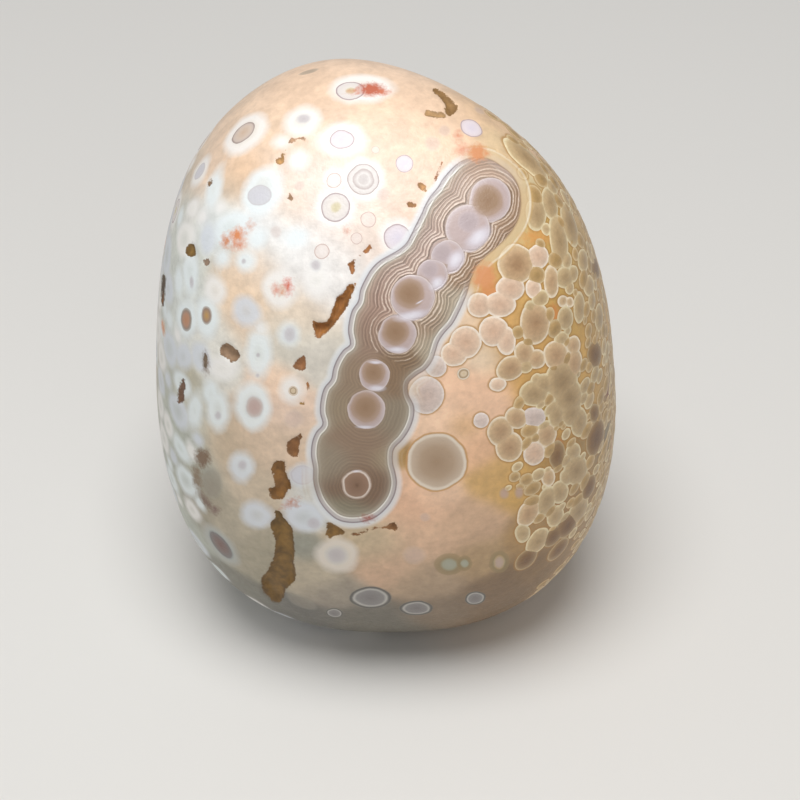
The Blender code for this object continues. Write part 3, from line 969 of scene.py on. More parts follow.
def spread_stains(surface):
    """Stores how far inside a stain each point is, in mm, and the stain's colour."""
    deepest = np.full(len(surface.points), OUTSIDE)
    colours = np.zeros((len(surface.points), 3))
    for side, stains in STAINS.items():
        for colour, *row in stains:
            depth = surface.mark(side, "stain", row).depth(surface.points)
            colours[depth > deepest] = hex_colour(colour)[:3]
            deepest = np.maximum(depth, deepest)
    surface.store("stain", deepest)
    surface.store("stain colour", colours)


def spread_milk(surface, cells):
    """Stores how far inside a milky cell each point is, in mm, and the cells' tints, blended."""
    deepest = np.full(len(surface.points), OUTSIDE)
    sums = np.zeros((len(surface.points), 3))
    weights = np.full((len(surface.points), 1), TINY)
    for cell in cells:
        depth = cell.depth(surface.points)
        weight = np.exp(np.clip(depth, -3, 3) * 3)[:, None]
        sums += weight * np.array(hex_colour(MILK_TINTS[cell.kind])[:3])
        weights += weight
        deepest = np.maximum(depth, deepest)
    surface.store("milk", deepest)
    surface.store("milk tint", sums / weights)


def filler_radius(sizes, share, dice):
    """A filler's radius in mm, smaller the later it comes."""
    first, shrinking, least, most = sizes
    return (first - shrinking * share) * dice.uniform(least, most)


def grow_fillers(surface, chain_gap, taken, dice):
    """Orbs, bubbles and milky cells that fill in between the listed marks, which are taken."""
    habits = habits_of_faces(surface, dice)
    front = surface.sides["front"].facing(surface.face_normals)
    centres = [mark.centre for mark in taken]
    radii = [mark.radius for mark in taken]
    chances = surface.areas / surface.areas.sum()
    picks = array_dice(dice).choice(len(chances), size=FILLER_TRIES, p=chances)
    grown = {"orbs": [], "bubbles": [], "milk": []}
    for turn, face in enumerate(picks):
        share = turn / len(picks)
        habit = habits[face]
        point = surface.centres[face]
        shown = front[face] > SHOWN
        if habit == "bare" or (shown and habit == "rings"):
            continue
        group = "shown bubbles" if shown and habit == "bubbles" else habit
        radius = filler_radius(BUBBLE_SIZES, share, dice)
        if habit != "bubbles":
            radius = filler_radius(CELL_SIZES, share, dice)
        elif shown:
            radius = min(radius, LARGEST_SHOWN) * dice.uniform(*SHOWN_SHARES)
        gaps = np.linalg.norm(np.array(centres) - point, axis=1)
        crowded = np.any(gaps < FILLER_SPACING[group] * (np.array(radii) + radius))
        if crowded or chain_gap[face] < radius + CHAIN_CLEARANCE:
            continue
        way = np.cross(surface.face_normals[face], [dice.uniform(-1, 1) for _ in range(3)])
        stretch = way / max(np.linalg.norm(way), TINY) * dice.uniform(*FILLER_STRETCH)
        tone = dice.uniform(-1, 1)
        centres.append(point)
        radii.append(radius)
        kind = dice.choice(FILLER_KINDS[group])
        drawn = radius * FILLER_SHARES.get(habit, 1)
        if habit == "bubbles":
            grown["bubbles"].append(Mark(kind, point, drawn, stretch, tone))
        elif habit == "rings":
            grown["orbs"].append(Mark(kind, point, drawn, stretch / 2, tone))
        else:
            grown["milk"].append(Mark(kind, point, drawn, stretch))
            if dice.random() < CORE_CHANCE and not shown:
                core = dice.choice(FILLER_KINDS["cores of milk"])
                drawn = radius * FILLER_SHARES["cores of milk"]
                grown["orbs"].append(Mark(core, point, drawn, stretch, tone))
    return grown


def seat_marks(surface, marks, prefix, seats, kinds, by_depth=False):
    """Gives each face the marks that reach it, for the shader to draw: the topmost, or the deepest."""
    numbers = np.full((seats, len(surface.centres)), -1)
    depths = np.full(numbers.shape, OUTSIDE)
    for number, mark in enumerate(marks):
        depth = mark.depth(surface.centres)
        reached = np.flatnonzero(depth > -SEAT_REACH)
        new_numbers = np.vstack([numbers[:, reached], np.full(len(reached), number)])
        new_depths = np.vstack([depths[:, reached], depth[reached]])
        if by_depth:
            order = np.argsort(new_depths, axis=0, kind="stable")
            new_numbers = np.take_along_axis(new_numbers, order, axis=0)
            new_depths = np.take_along_axis(new_depths, order, axis=0)
        numbers[:, reached] = new_numbers[1:]
        depths[:, reached] = new_depths[1:]
    # An empty seat, number -1, takes the last row of each part
    parts = {
        "centre": [mark.centre for mark in marks] + [(FAR, FAR, FAR)],
        "look": [(mark.radius, kinds.index(mark.kind), mark.tone) for mark in marks] + [(0.001, 0, 0)],
        "stretch": [mark.stretch for mark in marks] + [(0, 0, 0)],
    }
    for seat in range(seats):
        for part, rows in parts.items():
            surface.store(f"{prefix} {part} {seat + 1}", np.array(rows)[numbers[seat]], "FACE")


def mark_stone(mesh, seed):
    """Puts every marking of the agate on the mesh as attributes."""
    surface = Surface(mesh)
    dice = random.Random(seed)
    surface.store("ground", blend_zones(surface, ZONES))
    chain_edge = shape_chain(surface)
    cut_pits(surface)
    spread_stains(surface)
    orbs = surface.marks(ORBS, dice, spread=0.3)
    bubbles = surface.marks(BUBBLES, dice, spread=0.6)
    for bubble in bubbles:
        bubble.radius += BUBBLE_SKIN
    milk = surface.marks(MILK, dice, spread=0)
    corners = np.array([face.vertices[0] for face in mesh.polygons])
    grown = grow_fillers(surface, chain_edge[corners], orbs + bubbles + milk, dice)
    spread_milk(surface, grown["milk"] + milk)
    bubbles = grown["bubbles"] + bubbles
    rise = np.full(len(surface.points), OUTSIDE)
    for bubble in bubbles:
        rise = np.maximum(rise, bubble.depth(surface.points))
    surface.store("bubble rise", rise)
    seat_marks(surface, grown["orbs"] + orbs, "orb", ORB_SEATS, list(ORB_LOOKS))
    seat_marks(surface, bubbles, "bubble", BUBBLE_SEATS, list(BUBBLE_LOOKS), by_depth=True)
    chain_marks = surface.marks(CHAIN_MARKS, dice, spread=0.1)
    seat_marks(surface, chain_marks, "chain", CHAIN_SEATS, list(CHAIN_LOOKS))


def add_node(tree, kind, inputs=(), **settings):
    """Adds a node with its settings, and links or sets its inputs, given in order or by name or number.

    The kind may end in a mode, as in "Math ADD", and a shader node's goes without ShaderNode at its
    start. A MapRange takes its value, then the range it comes from and the range it goes to.
    """
    kind, *mode = kind.split()
    node = tree.nodes.new(kind if "Node" in kind else "ShaderNode" + kind)
    if mode:
        setattr(node, NODE_MODES.get(kind, "operation"), mode[0])
    for name, value in settings.items():
        setattr(node, name, value)
    for key, value in inputs.items() if isinstance(inputs, dict) else enumerate(inputs):
        if isinstance(key, int):
            socket = node.inputs[key]
        else:
            socket = next(one for one in node.inputs if one.name == key and one.enabled)
        if isinstance(value, bpy.types.Node):
            value = next(one for one in value.outputs if one.enabled)
        if isinstance(value, bpy.types.NodeSocket):
            tree.links.new(value, socket)
        else:
            socket.default_value = value
    return node


def new_group(name, tree_kind, inputs, outputs):
    """A node group with sockets given as rows of name, kind and default.

    Returned with it are the function that adds a node to it, and its inputs by name.
    """
    tree = bpy.data.node_groups.new(name, tree_kind)
    for in_out, rows in (("INPUT", inputs), ("OUTPUT", outputs)):
        for title, kind, *default in rows:
            socket = tree.interface.new_socket(title, in_out=in_out, socket_type="NodeSocket" + kind)
            if default:
                socket.default_value = default[0]
    add = partial(add_node, tree)
    return tree, add, add("NodeGroupInput").outputs


def relief_tree():
    """Geometry Nodes that sink the pits, dome the bubbles and orbs, and wave the surface slightly.

    The pits' wall and the waves' length are in millimetres, and the depths and heights in metres.
    """
    inputs = [
        ("Stone", "Geometry"), ("Pit Depth", "Float", PIT_DEPTH), ("Pit Wall", "Float", 0.35),
        ("Wave Height", "Float", WAVE_HEIGHT), ("Wave Length", "Float", 7.0), ("Grit", "Float", GRIT_HEIGHT),
        ("Dome Height", "Float", DOME_HEIGHT), ("Seed", "Int", SEED), ("Finish", "Material"),
    ]
    tree, add, start = new_group("worn stone relief", "GeometryNodeTree", inputs, [("Stone", "Geometry")])
    edge, share, rise, orbs = (
        add("GeometryNodeInputNamedAttribute FLOAT", {"Name": name})
        for name in ("pit edge", "pit share", "bubble rise", "chain orbs")
    )
    place = add("GeometryNodeInputPosition")
    mm_place = add("VectorMath SCALE", {0: place, "Scale": 1 / MM})
    wave_scale = add("Math DIVIDE", [1.0, start["Wave Length"]])
    grit, wave = (
        add("TexNoise 4D", {"Vector": mm_place, "W": start["Seed"], "Scale": scale, "Detail": detail})
        for scale, detail in ((SWELLS["grit"], 2.0), (wave_scale, 1.0))
    )

    # Pits have a wall that rounds into a gritty floor
    inward = add("Math MULTIPLY", [edge, -1.0])
    wall = add("Math DIVIDE", [inward, start["Pit Wall"]])
    sunk = add("MapRange SMOOTHSTEP", [wall])
    grit_depth = add("Math MULTIPLY", [grit, start["Grit"]])
    full = add("Math MULTIPLY", [start["Pit Depth"], share])
    floor = add("Math ADD", [full, grit_depth])
    pit = add("Math MULTIPLY", [floor, sunk])
    dip = add("Math MULTIPLY", [wave, start["Wave Height"]])
    depth = add("Math ADD", [pit, dip])

    # Domes stand on the bubbles and the chain's orbs, and fade out near the surface the stone stands on
    domes = [
        add("MapRange SMOOTHSTEP", [value, low, high])
        for value, low, high in ((rise, -0.1, 0.7), (orbs, 0.1, -0.7))
    ]
    domed = add("Math MAXIMUM", domes)
    full_dome = add("Math MULTIPLY", [domed, start["Dome Height"]])
    level = add("SeparateXYZ", [mm_place]).outputs["Z"]
    clear_of_floor = add("MapRange", [level, 0.4, 3.0])
    proud = add("Math MULTIPLY", [full_dome, clear_of_floor])

    outward = add("Math SUBTRACT", [proud, depth])
    normal = add("GeometryNodeInputNormal")
    shift = add("VectorMath SCALE", {0: normal, "Scale": outward})
    moved = add("GeometryNodeSetPosition", {"Geometry": start["Stone"], "Offset": shift})
    real = add("GeometryNodeRealizeInstances", {"Geometry": moved})
    finished = add("GeometryNodeSetMaterial", {"Geometry": real, "Material": start["Finish"]})
    add("NodeGroupOutput", {"Stone": finished})
    return tree


def set_input(modifier, name, value):
    """Sets a Geometry Nodes modifier's input by its socket's identifier."""
    socket = next(
        item for item in modifier.node_group.interface.items_tree
        if item.item_type == "SOCKET" and item.in_out == "INPUT" and item.name == name
    )
    modifier[socket.identifier] = value


def paint_ramp(node, stops):
    """Sets a colour ramp's stops, each a place, an sRGB hex colour and a cover. Returns its outputs."""
    elements = node.color_ramp.elements
    while len(elements) < len(stops):
        elements.new(1.0)
    for element, (place, colour, cover) in zip(elements, sorted(stops, key=lambda stop: stop[0])):
        element.position = place
        element.color = hex_colour(colour, cover)
    return node.outputs["Color"], node.outputs["Alpha"]


def range_ramp(add, value, stops):
    """A colour ramp over the values from its first stop's to its last one's."""
    low, high = stops[0][0], stops[-1][0]
    along = add("MapRange", [value, low, high])
    shares = [((place - low) / (high - low), colour, cover) for place, colour, cover in stops]
    return paint_ramp(add("ValToRGB", [along]), shares)


def section_stops(looks, count):
    """The stops of a ramp that is cut into that many sections, one for each look."""
    return [
        ((slot + min(place, SECTION_END)) / count, colour, cover)
        for slot, stops in enumerate(looks) for place, colour, cover in stops
    ]


def mark_gap(add, start):
    """How far the place is from a mark's centre, counted shorter along the mark's long way."""
    away = add("VectorMath SUBTRACT", [start["Place"], start["Centre"]])
    square = add("VectorMath DOT_PRODUCT", [away, away])
    along = add("VectorMath DOT_PRODUCT", [away, start["Stretch"]])
    along_square = add("Math MULTIPLY", [along, along])
    rest = add("Math SUBTRACT", [square, along_square])
    return add("Math SQRT", [rest])


def orb_group(name, looks):
    """A shader group that lays one orb over what is below it. Place is in millimetres."""
    inputs = [("Below", "Color"), *MARK_INPUTS]
    tree, add, start = new_group(name, "ShaderNodeTree", inputs, [("Colour", "Color")])
    gap = mark_gap(add, start)
    radius, kind, tone = add("SeparateXYZ", [start["Look"]]).outputs
    share = add("Math DIVIDE", [gap, radius])
    capped = add("Math MINIMUM", [share, SECTION_END])
    place = add("Math ADD", [kind, capped])
    inside = add("Math SUBTRACT", [radius, gap])
    edge = add("Math DIVIDE", [inside, ORB_EDGE], use_clamp=True)
    colour = None
    for first in range(0, len(looks), LOOKS_PER_RAMP):
        stops = section_stops(list(looks.values())[first:first + LOOKS_PER_RAMP], LOOKS_PER_RAMP)
        local = add("Math SUBTRACT", [place, float(first)])
        along = add("Math DIVIDE", [local, float(LOOKS_PER_RAMP)], use_clamp=True)
        shade, density = paint_ramp(add("ValToRGB", [along]), stops)
        if colour is None:
            colour, cover = shade, density
            continue
        chosen = add("Math GREATER_THAN", [place, float(first)])
        colour = add("Mix RGBA", {"Factor": chosen, "A": colour, "B": shade})
        cover = add("Mix FLOAT", {"Factor": chosen, "A": cover, "B": density})
    value = add("Math MULTIPLY_ADD", [tone, ORB_TONES, 1.0])
    toned = add("HueSaturation", {"Value": value, "Color": colour})
    strength = add("Math MULTIPLY", [cover, edge])
    laid = add("Mix RGBA", {"Factor": strength, "A": start["Below"], "B": toned})
    add("NodeGroupOutput", {"Colour": laid})
    return tree


def bubble_group():
    """A shader group that keeps the deeper of two bubbles, each as its depth in mm, kind and tone."""
    inputs = [("Below", "Vector"), *MARK_INPUTS]
    tree, add, start = new_group("agate bubble", "ShaderNodeTree", inputs, [("Deeper", "Vector")])
    gap = mark_gap(add, start)
    radius, kind, tone = add("SeparateXYZ", [start["Look"]]).outputs
    depth = add("Math SUBTRACT", [radius, gap])
    depth_below = add("SeparateXYZ", [start["Below"]]).outputs["X"]
    deeper = add("Math GREATER_THAN", [depth, depth_below])
    this = add("CombineXYZ", [depth, kind, tone])
    kept = add("Mix VECTOR", {"Factor": deeper, "A": start["Below"], "B": this})
    add("NodeGroupOutput", {"Deeper": kept})
    return tree


def lay_marks(add, group, prefix, seats, place, below):
    """Lays the marks of all seats over what is below them, by one copy of the group for each seat."""
    for seat in range(1, seats + 1):
        inputs = {"Below": below, "Place": place}
        for part in ("centre", "look", "stretch"):
            attribute = add("Attribute", attribute_name=f"{prefix} {part} {seat}")
            inputs[part.title()] = attribute.outputs["Vector"]
        below = add("Group", inputs, node_tree=group)
    return below


def paint_ground(add, place):
    """Zones of colour with cloudy mottling a few millimetres across, and a finer grain."""
    ground = add("Attribute", attribute_name="ground").outputs["Color"]
    for pattern, detail, roughness, low, high, darkest, palest in (
        ("clouds", 5.0, 0.62, 0.4, 0.7, 0.95, 1.13), ("mottle", 4.0, 0.6, 0.3, 0.7, 0.9, 1.07),
    ):
        noise = {"Vector": place, "Scale": SWELLS[pattern], "Detail": detail, "Roughness": roughness}
        value = add("MapRange", [add("TexNoise", noise), low, high, darkest, palest])
        ground = add("HueSaturation", {"Value": value, "Color": ground})
    return ground


def paint_milk(add, colour, drift):
    """Milky cells: brightest in a soft ring at their edge, where the silica scatters most light."""
    depth = add("Attribute", attribute_name="milk").outputs["Fac"]
    tint = add("Attribute", attribute_name="milk tint").outputs["Color"]
    wobbled = add("Math MULTIPLY_ADD", [drift, 0.9, depth])
    shade, cover = range_ramp(add, wobbled, [
        (-0.35, "#FFFFFF", 0), (0.021, "#FFFFFF", 0.4), (0.445, "#FFFFFF", 0.86), (0.763, "#FFFFFE", 0.88),
        (1.24, "#F6F7F5", 0.78), (1.77, "#EDEFEC", 0.7), (2.3, "#E6E8E5", 0.7),
    ])
    tinted = add("Mix RGBA", {"Factor": 1.0, "A": tint, "B": shade}, blend_type="MULTIPLY")
    return add("Mix RGBA", {"Factor": cover, "A": colour, "B": tinted})


def paint_bubbles(add, colour, place, grain):
    """Botryoidal bubbles that flow together: cream rims with a golden-brown line of painted shade round
    them.
    """
    deepest = lay_marks(add, bubble_group(), "bubble", BUBBLE_SEATS, place, (OUTSIDE, 0.0, 0.0))
    depth, kind, tone = add("SeparateXYZ", [deepest]).outputs
    along = add("Math MULTIPLY", [depth, SECTION_END / BUBBLE_REACH], use_clamp=True)
    capped = add("Math MINIMUM", [along, BUBBLE_SECTION_END])
    section = add("Math ADD", [kind, capped])
    share = add("Math DIVIDE", [section, float(len(BUBBLE_LOOKS))])
    looks = [
        [(inward / BUBBLE_REACH, shade, 1) for inward, shade in stops] for stops in BUBBLE_LOOKS.values()
    ]
    shade = paint_ramp(add("ValToRGB", [share]), section_stops(looks, len(looks)))[0]
    grainy = add("Math ADD", [grain, -0.5])
    toned = add("Math MULTIPLY_ADD", [tone, BUBBLE_TONES, 1.0])
    value = add("Math MULTIPLY_ADD", [grainy, BUBBLE_GRAIN, toned])
    skin = add("HueSaturation", {"Value": value, "Color": shade})
    # A golden-brown line of painted shade just outside each bubble's edge
    line = add("MapRange SMOOTHSTEP", [depth, -BUBBLE_SHADE_LINE, 0.0, 0.0, 0.75])
    shade_lined = add("Mix RGBA", {"Factor": line, "A": colour, "B": hex_colour(BUBBLE_SHADE_LINE_COLOUR)})
    cover = add("Math DIVIDE", [depth, BUBBLE_EDGE], use_clamp=True)
    return add("Mix RGBA", {"Factor": cover, "A": shade_lined, "B": skin}), cover


def chain_ridges(add, orbs, strength, drift):
    """Ridges of uneven width round the chain's orbs, strongest close to them."""
    uneven = add("Math MULTIPLY_ADD", [drift, 0.8, orbs])
    phase = add("Math MULTIPLY", [uneven, 2 * math.pi / RIDGE_PERIOD])
    wave = add("Math SINE", [phase])
    lines = add("TexNoise 1D", {"W": uneven, "Scale": 2.1, "Detail": 2.0, "Roughness": 0.7})
    uneven_line = add("Math ADD", [lines, -0.5])
    even_line = add("Math MULTIPLY", [wave, 0.32])
    ridge = add("Math MULTIPLY_ADD", [uneven_line, 1.9, even_line])
    fade = add("MapRange", [orbs, 1.5, 2.7, 1.0, 0.3])
    outside = add("MapRange", [orbs, -0.25, 0.0])
    around = add("Math MULTIPLY", [fade, outside])
    force = add("Math MULTIPLY", [strength, around])
    return add("Math MULTIPLY", [ridge, force])


def paint_chain(add, colour, place, drift, grain):
    """The banded chain: ridges that follow its orbs, with pale crests partly painted highlight, orbs whose
    white caps are partly painted highlight, and a border of thin grey, white and sage bands.
    """
    edge, border, orbs, strength = (
        add("Attribute", attribute_name=name).outputs["Fac"]
        for name in ("chain edge", "chain border", "chain orbs", "ridge strength")
    )
    ground = add("Attribute", attribute_name="chain ground").outputs["Color"]
    ridged = chain_ridges(add, orbs, strength, drift)
    value = add("Math MULTIPLY_ADD", [ridged, 0.85, 0.99])
    body = add("HueSaturation", {"Value": value, "Color": ground})
    # Pale bands on the ridges' crests, partly painted highlight where the ridges catch the light
    pale_crest_and_highlight = add("MapRange SMOOTHSTEP", [ridged, 0.14, 0.4, 0.0, 0.8])
    worn = add("MapRange", [grain, 0.4, 0.6, 0.3, 1.0])
    pale_crest_and_highlight = add("Math MULTIPLY", [pale_crest_and_highlight, worn])
    body = add("Mix RGBA", {"Factor": pale_crest_and_highlight, "A": body, "B": hex_colour(RIDGE_CREST_AND_HIGHLIGHT_COLOUR)})
    within = add("MapRange", [edge, -0.02, 0.04, 1.0, 0.0])
    bare = add("Mix RGBA", {"Factor": within, "A": colour, "B": body})

    # Border bands, in mm inside and outside the edge
    bands, band_cover = range_ramp(add, edge, [
        (-2, "#B4A896", 0), (-1.5, "#B4A896", 0), (-0.9, "#BAAE9C", 0.25), (-0.68, "#C4BAAA", 0.55),
        (-0.58, "#A49A8C", 0.9), (-0.54, "#A09688", 0.9), (-0.48, "#EEEAE0", 1), (-0.4, "#F2EEE8", 1),
        (-0.35, "#CBC4C0", 1), (-0.1, "#C4BCBC", 1), (-0.05, "#968C8E", 1), (0.03, "#958A8C", 1),
        (0.09, "#DCDEE2", 0.9), (0.4, "#E8EAEC", 0.75), (0.75, "#EEEEEC", 0), (1, "#EEEEEC", 0),
    ])
    # Where that border thins out, a band of pale gold runs along the chain, with a white line beyond it
    gold, gold_cover = range_ramp(add, edge, [
        (-0.2, "#A08468", 0), (-0.1, "#A08468", 0), (0, "#AC8E6C", 0.8), (0.15, "#D8BC94", 0.8),
        (0.8, "#DCC49C", 0.7), (0.88, "#F0E4CC", 0.7), (0.98, "#F0E4CC", 0.7), (1.1, "#D0AA6C", 0.5),
        (1.3, "#D0AA6C", 0), (1.4, "#D0AA6C", 0),
    ])
    thin = add("Math SUBTRACT", [1.0, border], use_clamp=True)
    thinner = add("Math POWER", [thin, 2.0])
    gold_cover = add("Math MULTIPLY", [gold_cover, thinner])
    gilded = add("Mix RGBA", {"Factor": gold_cover, "A": bare, "B": gold})
    band_cover = add("Math MULTIPLY", [band_cover, border])
    banded = add("Mix RGBA", {"Factor": band_cover, "A": gilded, "B": bands})

    group = orb_group("chain orb", CHAIN_LOOKS)
    relief = add("Math MULTIPLY", [ridged, within])
    return lay_marks(add, group, "chain", CHAIN_SEATS, place, banded), relief


def paint_stains(add, colour, crumbs, bubble):
    """Iron stains, flat in colour and crumbly at the edge, that keep out of the bubbles."""
    stain = add("Attribute", attribute_name="stain").outputs["Fac"]
    stain_colour = add("Attribute", attribute_name="stain colour").outputs["Color"]
    crumbly = add("Math MULTIPLY_ADD", [crumbs, 1.3, stain])
    spread = add("MapRange", [crumbly, -0.28, 0.4, 0.0, 0.95])
    bare = add("Math SUBTRACT", [1.0, bubble])
    cover = add("Math MULTIPLY", [spread, bare])
    return add("Mix RGBA", {"Factor": cover, "A": colour, "B": stain_colour})


def paint_pits(add, colour, place, crumbs):
    """Pits and windows of brown, iron-rich quartz, murky inside and darker along the rim."""
    pit = add("Attribute", attribute_name="pit edge").outputs["Fac"]
    pit_colour = add("Attribute", attribute_name="pit colour").outputs["Color"]
    rough_edge = add("Math MULTIPLY_ADD", [crumbs, 0.55, pit])
    inside = add("MapRange", [rough_edge, -0.03, 0.05, 1.0, 0.0])
    murk = add("TexNoise", {"Vector": place, "Scale": SWELLS["murk"], "Detail": 3.0})
    value = add("MapRange", [murk, 0.3, 0.7, 0.65, 1.3])
    murky = add("HueSaturation", {"Value": value, "Color": pit_colour})
    rim = add("MapRange", [rough_edge, -0.3, -0.05, 0.0, 0.35])
    rimmed = add("Mix RGBA", {"Factor": rim, "A": murky, "B": hex_colour(PIT_RIM_COLOUR)})
    return add("Mix RGBA", {"Factor": inside, "A": colour, "B": rimmed}), inside


def agate_material(seed):
    """Chalcedony, wind-polished to a satin: orbs and bands of slightly different density and iron.

    It gives the eye cream-rimmed orbs in peach and gold ground, a lilac and taupe banded chain, milky
    halos and brown iron-stained windows, under a soft waxy shine.
    """
    material = bpy.data.materials.new("wind-polished chalcedony")
    material.use_nodes = True
    material.node_tree.nodes.clear()
    add = partial(add_node, material.node_tree)
    coords = add("TexCoord").outputs["Object"]
    place = add("VectorMath SCALE", {0: coords, "Scale": 1 / MM})

    # Growth was never quite round: outlines wander by about a tenth of a millimetre
    wander = add(
        "TexNoise 4D", {"Vector": place, "Scale": SWELLS["wander"], "Detail": 3.0, "W": float(seed)}
    )
    centred = add("VectorMath SUBTRACT", [wander.outputs["Color"], (0.5, 0.5, 0.5)])
    nudge = add("VectorMath SCALE", {0: centred, "Scale": WANDER})
    bent = add("VectorMath ADD", [place, nudge])
    drift = add("Math ADD", [wander, -0.5])
    grain = add("TexNoise", {"Vector": place, "Scale": SWELLS["grain"], "Detail": 4.0, "Roughness": 0.65})

    colour = paint_milk(add, paint_ground(add, place), drift)
    colour, bubble = paint_bubbles(add, colour, bent, grain)
    colour = lay_marks(add, orb_group("agate orb", ORB_LOOKS), "orb", ORB_SEATS, bent, colour)
    colour, ridges = paint_chain(add, colour, bent, drift, grain)
    crumbs = add("Math ADD", [grain, -0.52])
    colour = paint_stains(add, colour, crumbs, bubble)
    colour, pits = paint_pits(add, colour, place, crumbs)

    # A satin shine, duller in the pits, and relief where harder silica stands proud
    satin = add("MapRange", [grain, 0.3, 0.7, 0.34, 0.46])
    rough = add("Mix FLOAT", {"Factor": pits, "A": satin, "B": 0.62})
    rise = add("Attribute", attribute_name="bubble rise").outputs["Fac"]
    dome = add("MapRange SMOOTHSTEP", [rise, -0.1, 0.9, 0.0, 1.2])
    domed = add("Math MULTIPLY_ADD", [grain, 0.8, dome])
    height = add("Math MULTIPLY_ADD", [ridges, 1.2, domed])
    bump = add("Bump", {"Strength": 0.7, "Distance": 0.08 * MM, "Height": height})
    shine = {"Base Color": colour, "Roughness": rough, "IOR": 1.54, "Normal": bump}
    add("OutputMaterial", {"Surface": add("BsdfPrincipled", shine)})
    return material


def build_stone(settings):
    """The one piece: the marked mesh with its relief, as a plain mesh that replaces the solid."""
    mesh = smooth_stone_mesh()
    mark_stone(mesh, settings.seed)
    carved = placed("carved stone", mesh)
    relief = carved.modifiers.new("relief", "NODES")
    relief.node_group = relief_tree()
    for name, value in (
        ("Pit Depth", settings.pit_depth), ("Wave Height", settings.wave_height),
        ("Dome Height", settings.dome_height), ("Seed", settings.seed),
        ("Finish", agate_material(settings.seed)),
    ):
        set_input(relief, name, value)
    finished = applied_mesh(carved)
    finished.name = "polished_agate"
    finished.shade_smooth()
    stone = placed("polished_agate", finished)
    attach(stone, BODY)
    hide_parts("agate")
    return stone


def build_floor(colour):
    """A plain floor of matt studio paint."""
    mesh = bpy.data.meshes.new("studio floor")
    grid = bmesh.new()
    bmesh.ops.create_grid(grid, x_segments=2, y_segments=2, size=FLOOR_HALF_WIDTH)
    grid.to_mesh(mesh)
    grid.free()
    paint = bpy.data.materials.new("matt studio paint")
    paint.use_nodes = True
    shader = paint.node_tree.nodes["Principled BSDF"]
    shader.inputs["Base Color"].default_value = (*colour, 1)
    shader.inputs["Roughness"].default_value = 0.9
    mesh.materials.append(paint)
    placed("studio_floor", mesh)


def build_stage(settings):
    """The floor, the even air light, two softboxes and the camera at the front side's eye."""
    build_floor(settings.floor_colour)
    scene = bpy.context.scene
    world = bpy.data.worlds.new("studio air")
    world.use_nodes = True
    air = world.node_tree.nodes["Background"]
    air.inputs["Color"].default_value = (1, 1, 1, 1)
    air.inputs["Strength"].default_value = settings.air_strength
    scene.world = world

    middle = Vector((0, 0, STONE_MIDDLE))
    for name, azimuth, elevation, distance, size, power in (
        ("key softbox", -12, 76, 0.5, 0.3, settings.key_power),
        ("fill softbox", 10, 35, 0.7, 0.5, settings.fill_power),
    ):
        away = direction(azimuth, elevation)
        light = bpy.data.lights.new(name, "AREA")
        light.shape = "DISK"
        light.size = size
        light.energy = power
        lamp = placed(name, light)
        lamp.location = middle + away * distance
        lamp.rotation_euler = (-away).to_track_quat("-Z", "Y").to_euler()

    front = Side(*SIDES["front"], middle / MM)
    lens = bpy.data.cameras.new("camera")
    lens.sensor_width = SENSOR_WIDTH
    lens.lens = LENS
    camera = placed("camera", lens)
    camera.location = front.eye * MM
    camera.rotation_euler = front.ahead.to_track_quat("-Z", "Y").to_euler()
    scene.camera = camera
    scene.view_settings.view_transform = "Standard"


class AgateStoneSettings(bpy.types.PropertyGroup):
    """Sizes of the stone's relief, and the seed of its smaller orbs."""

    seed: IntProperty(
        name="Seed", description="Places the orbs that fill in between the main ones", default=SEED, min=0
    )
    pit_depth: FloatProperty(
        name="Pit Depth", description="Depth of the deepest pit", default=PIT_DEPTH, min=0, unit="LENGTH"
    )
    wave_height: FloatProperty(
        name="Wave Height", description="Height of the worn waves in the surface",
        default=WAVE_HEIGHT, min=0, unit="LENGTH",
    )
    dome_height: FloatProperty(
        name="Dome Height", description="How far bubbles and orbs stand proud",
        default=DOME_HEIGHT, min=0, unit="LENGTH",
    )


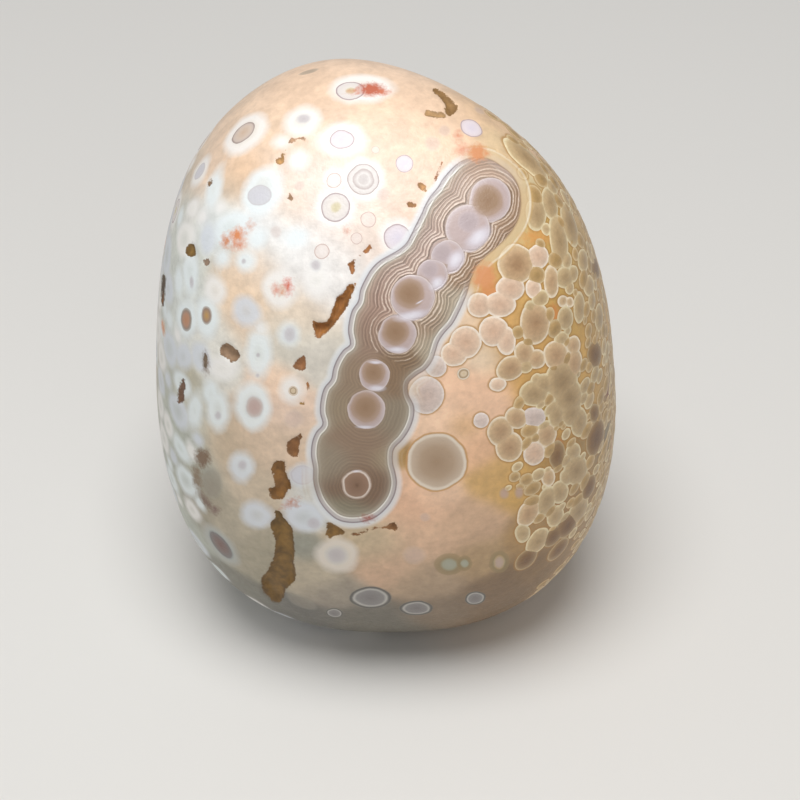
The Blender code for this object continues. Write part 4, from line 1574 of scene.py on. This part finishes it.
class AgateStageSettings(bpy.types.PropertyGroup):
    """Floor and light."""

    floor_colour: FloatVectorProperty(
        name="Floor Colour", description="Colour of the floor", subtype="COLOR", size=3, min=0, max=1,
        default=hex_colour("#E2E0DC")[:3],
    )
    key_power: FloatProperty(
        name="Key Power", description="Power of the light overhead", default=2.15, min=0, unit="POWER"
    )
    fill_power: FloatProperty(
        name="Fill Power", description="Power of the light in front", default=0.5, min=0, unit="POWER"
    )
    air_strength: FloatProperty(
        name="Air Strength", description="Strength of the even light from all round", default=0.24, min=0
    )


class OBJECT_OT_agate_stone(bpy.types.Operator):
    """Builds the agate pebble with its orbs, chain, stains and pits"""

    bl_idname = "object.agate_stone"
    bl_label = "Build Agate"

    def execute(self, context):
        build_stone(context.scene.agate_stone)
        return {"FINISHED"}


class OBJECT_OT_agate_stage(bpy.types.Operator):
    """Sets the floor, the lights and the camera"""

    bl_idname = "object.agate_stage"
    bl_label = "Build Stage"

    def execute(self, context):
        build_stage(context.scene.agate_stage)
        return {"FINISHED"}


class VIEW3D_PT_agate(bpy.types.Panel):
    """Lists the agate's operators and settings"""

    bl_label = "Gobi Agate"
    bl_idname = "VIEW3D_PT_agate"
    bl_space_type = "VIEW_3D"
    bl_region_type = "UI"
    bl_category = "Gobi Agate"

    def draw(self, context):
        layout = self.layout
        for settings in (context.scene.agate_stone, context.scene.agate_stage):
            for name in settings.__annotations__:
                layout.prop(settings, name)
        for operator in (OBJECT_OT_agate_stone, OBJECT_OT_agate_stage):
            layout.operator(operator.bl_idname)


CLASSES = (
    AgateStoneSettings, AgateStageSettings, OBJECT_OT_agate_stone, OBJECT_OT_agate_stage, VIEW3D_PT_agate
)


def register():
    for cls in CLASSES:
        bpy.utils.register_class(cls)
    bpy.types.Scene.agate_stone = PointerProperty(type=AgateStoneSettings)
    bpy.types.Scene.agate_stage = PointerProperty(type=AgateStageSettings)


def unregister():
    del bpy.types.Scene.agate_stage
    del bpy.types.Scene.agate_stone
    for cls in reversed(CLASSES):
        bpy.utils.unregister_class(cls)


def main():
    register()
    bpy.ops.object.agate_stage()
    bpy.ops.object.agate_stone()


if __name__ == "__main__":
    main()
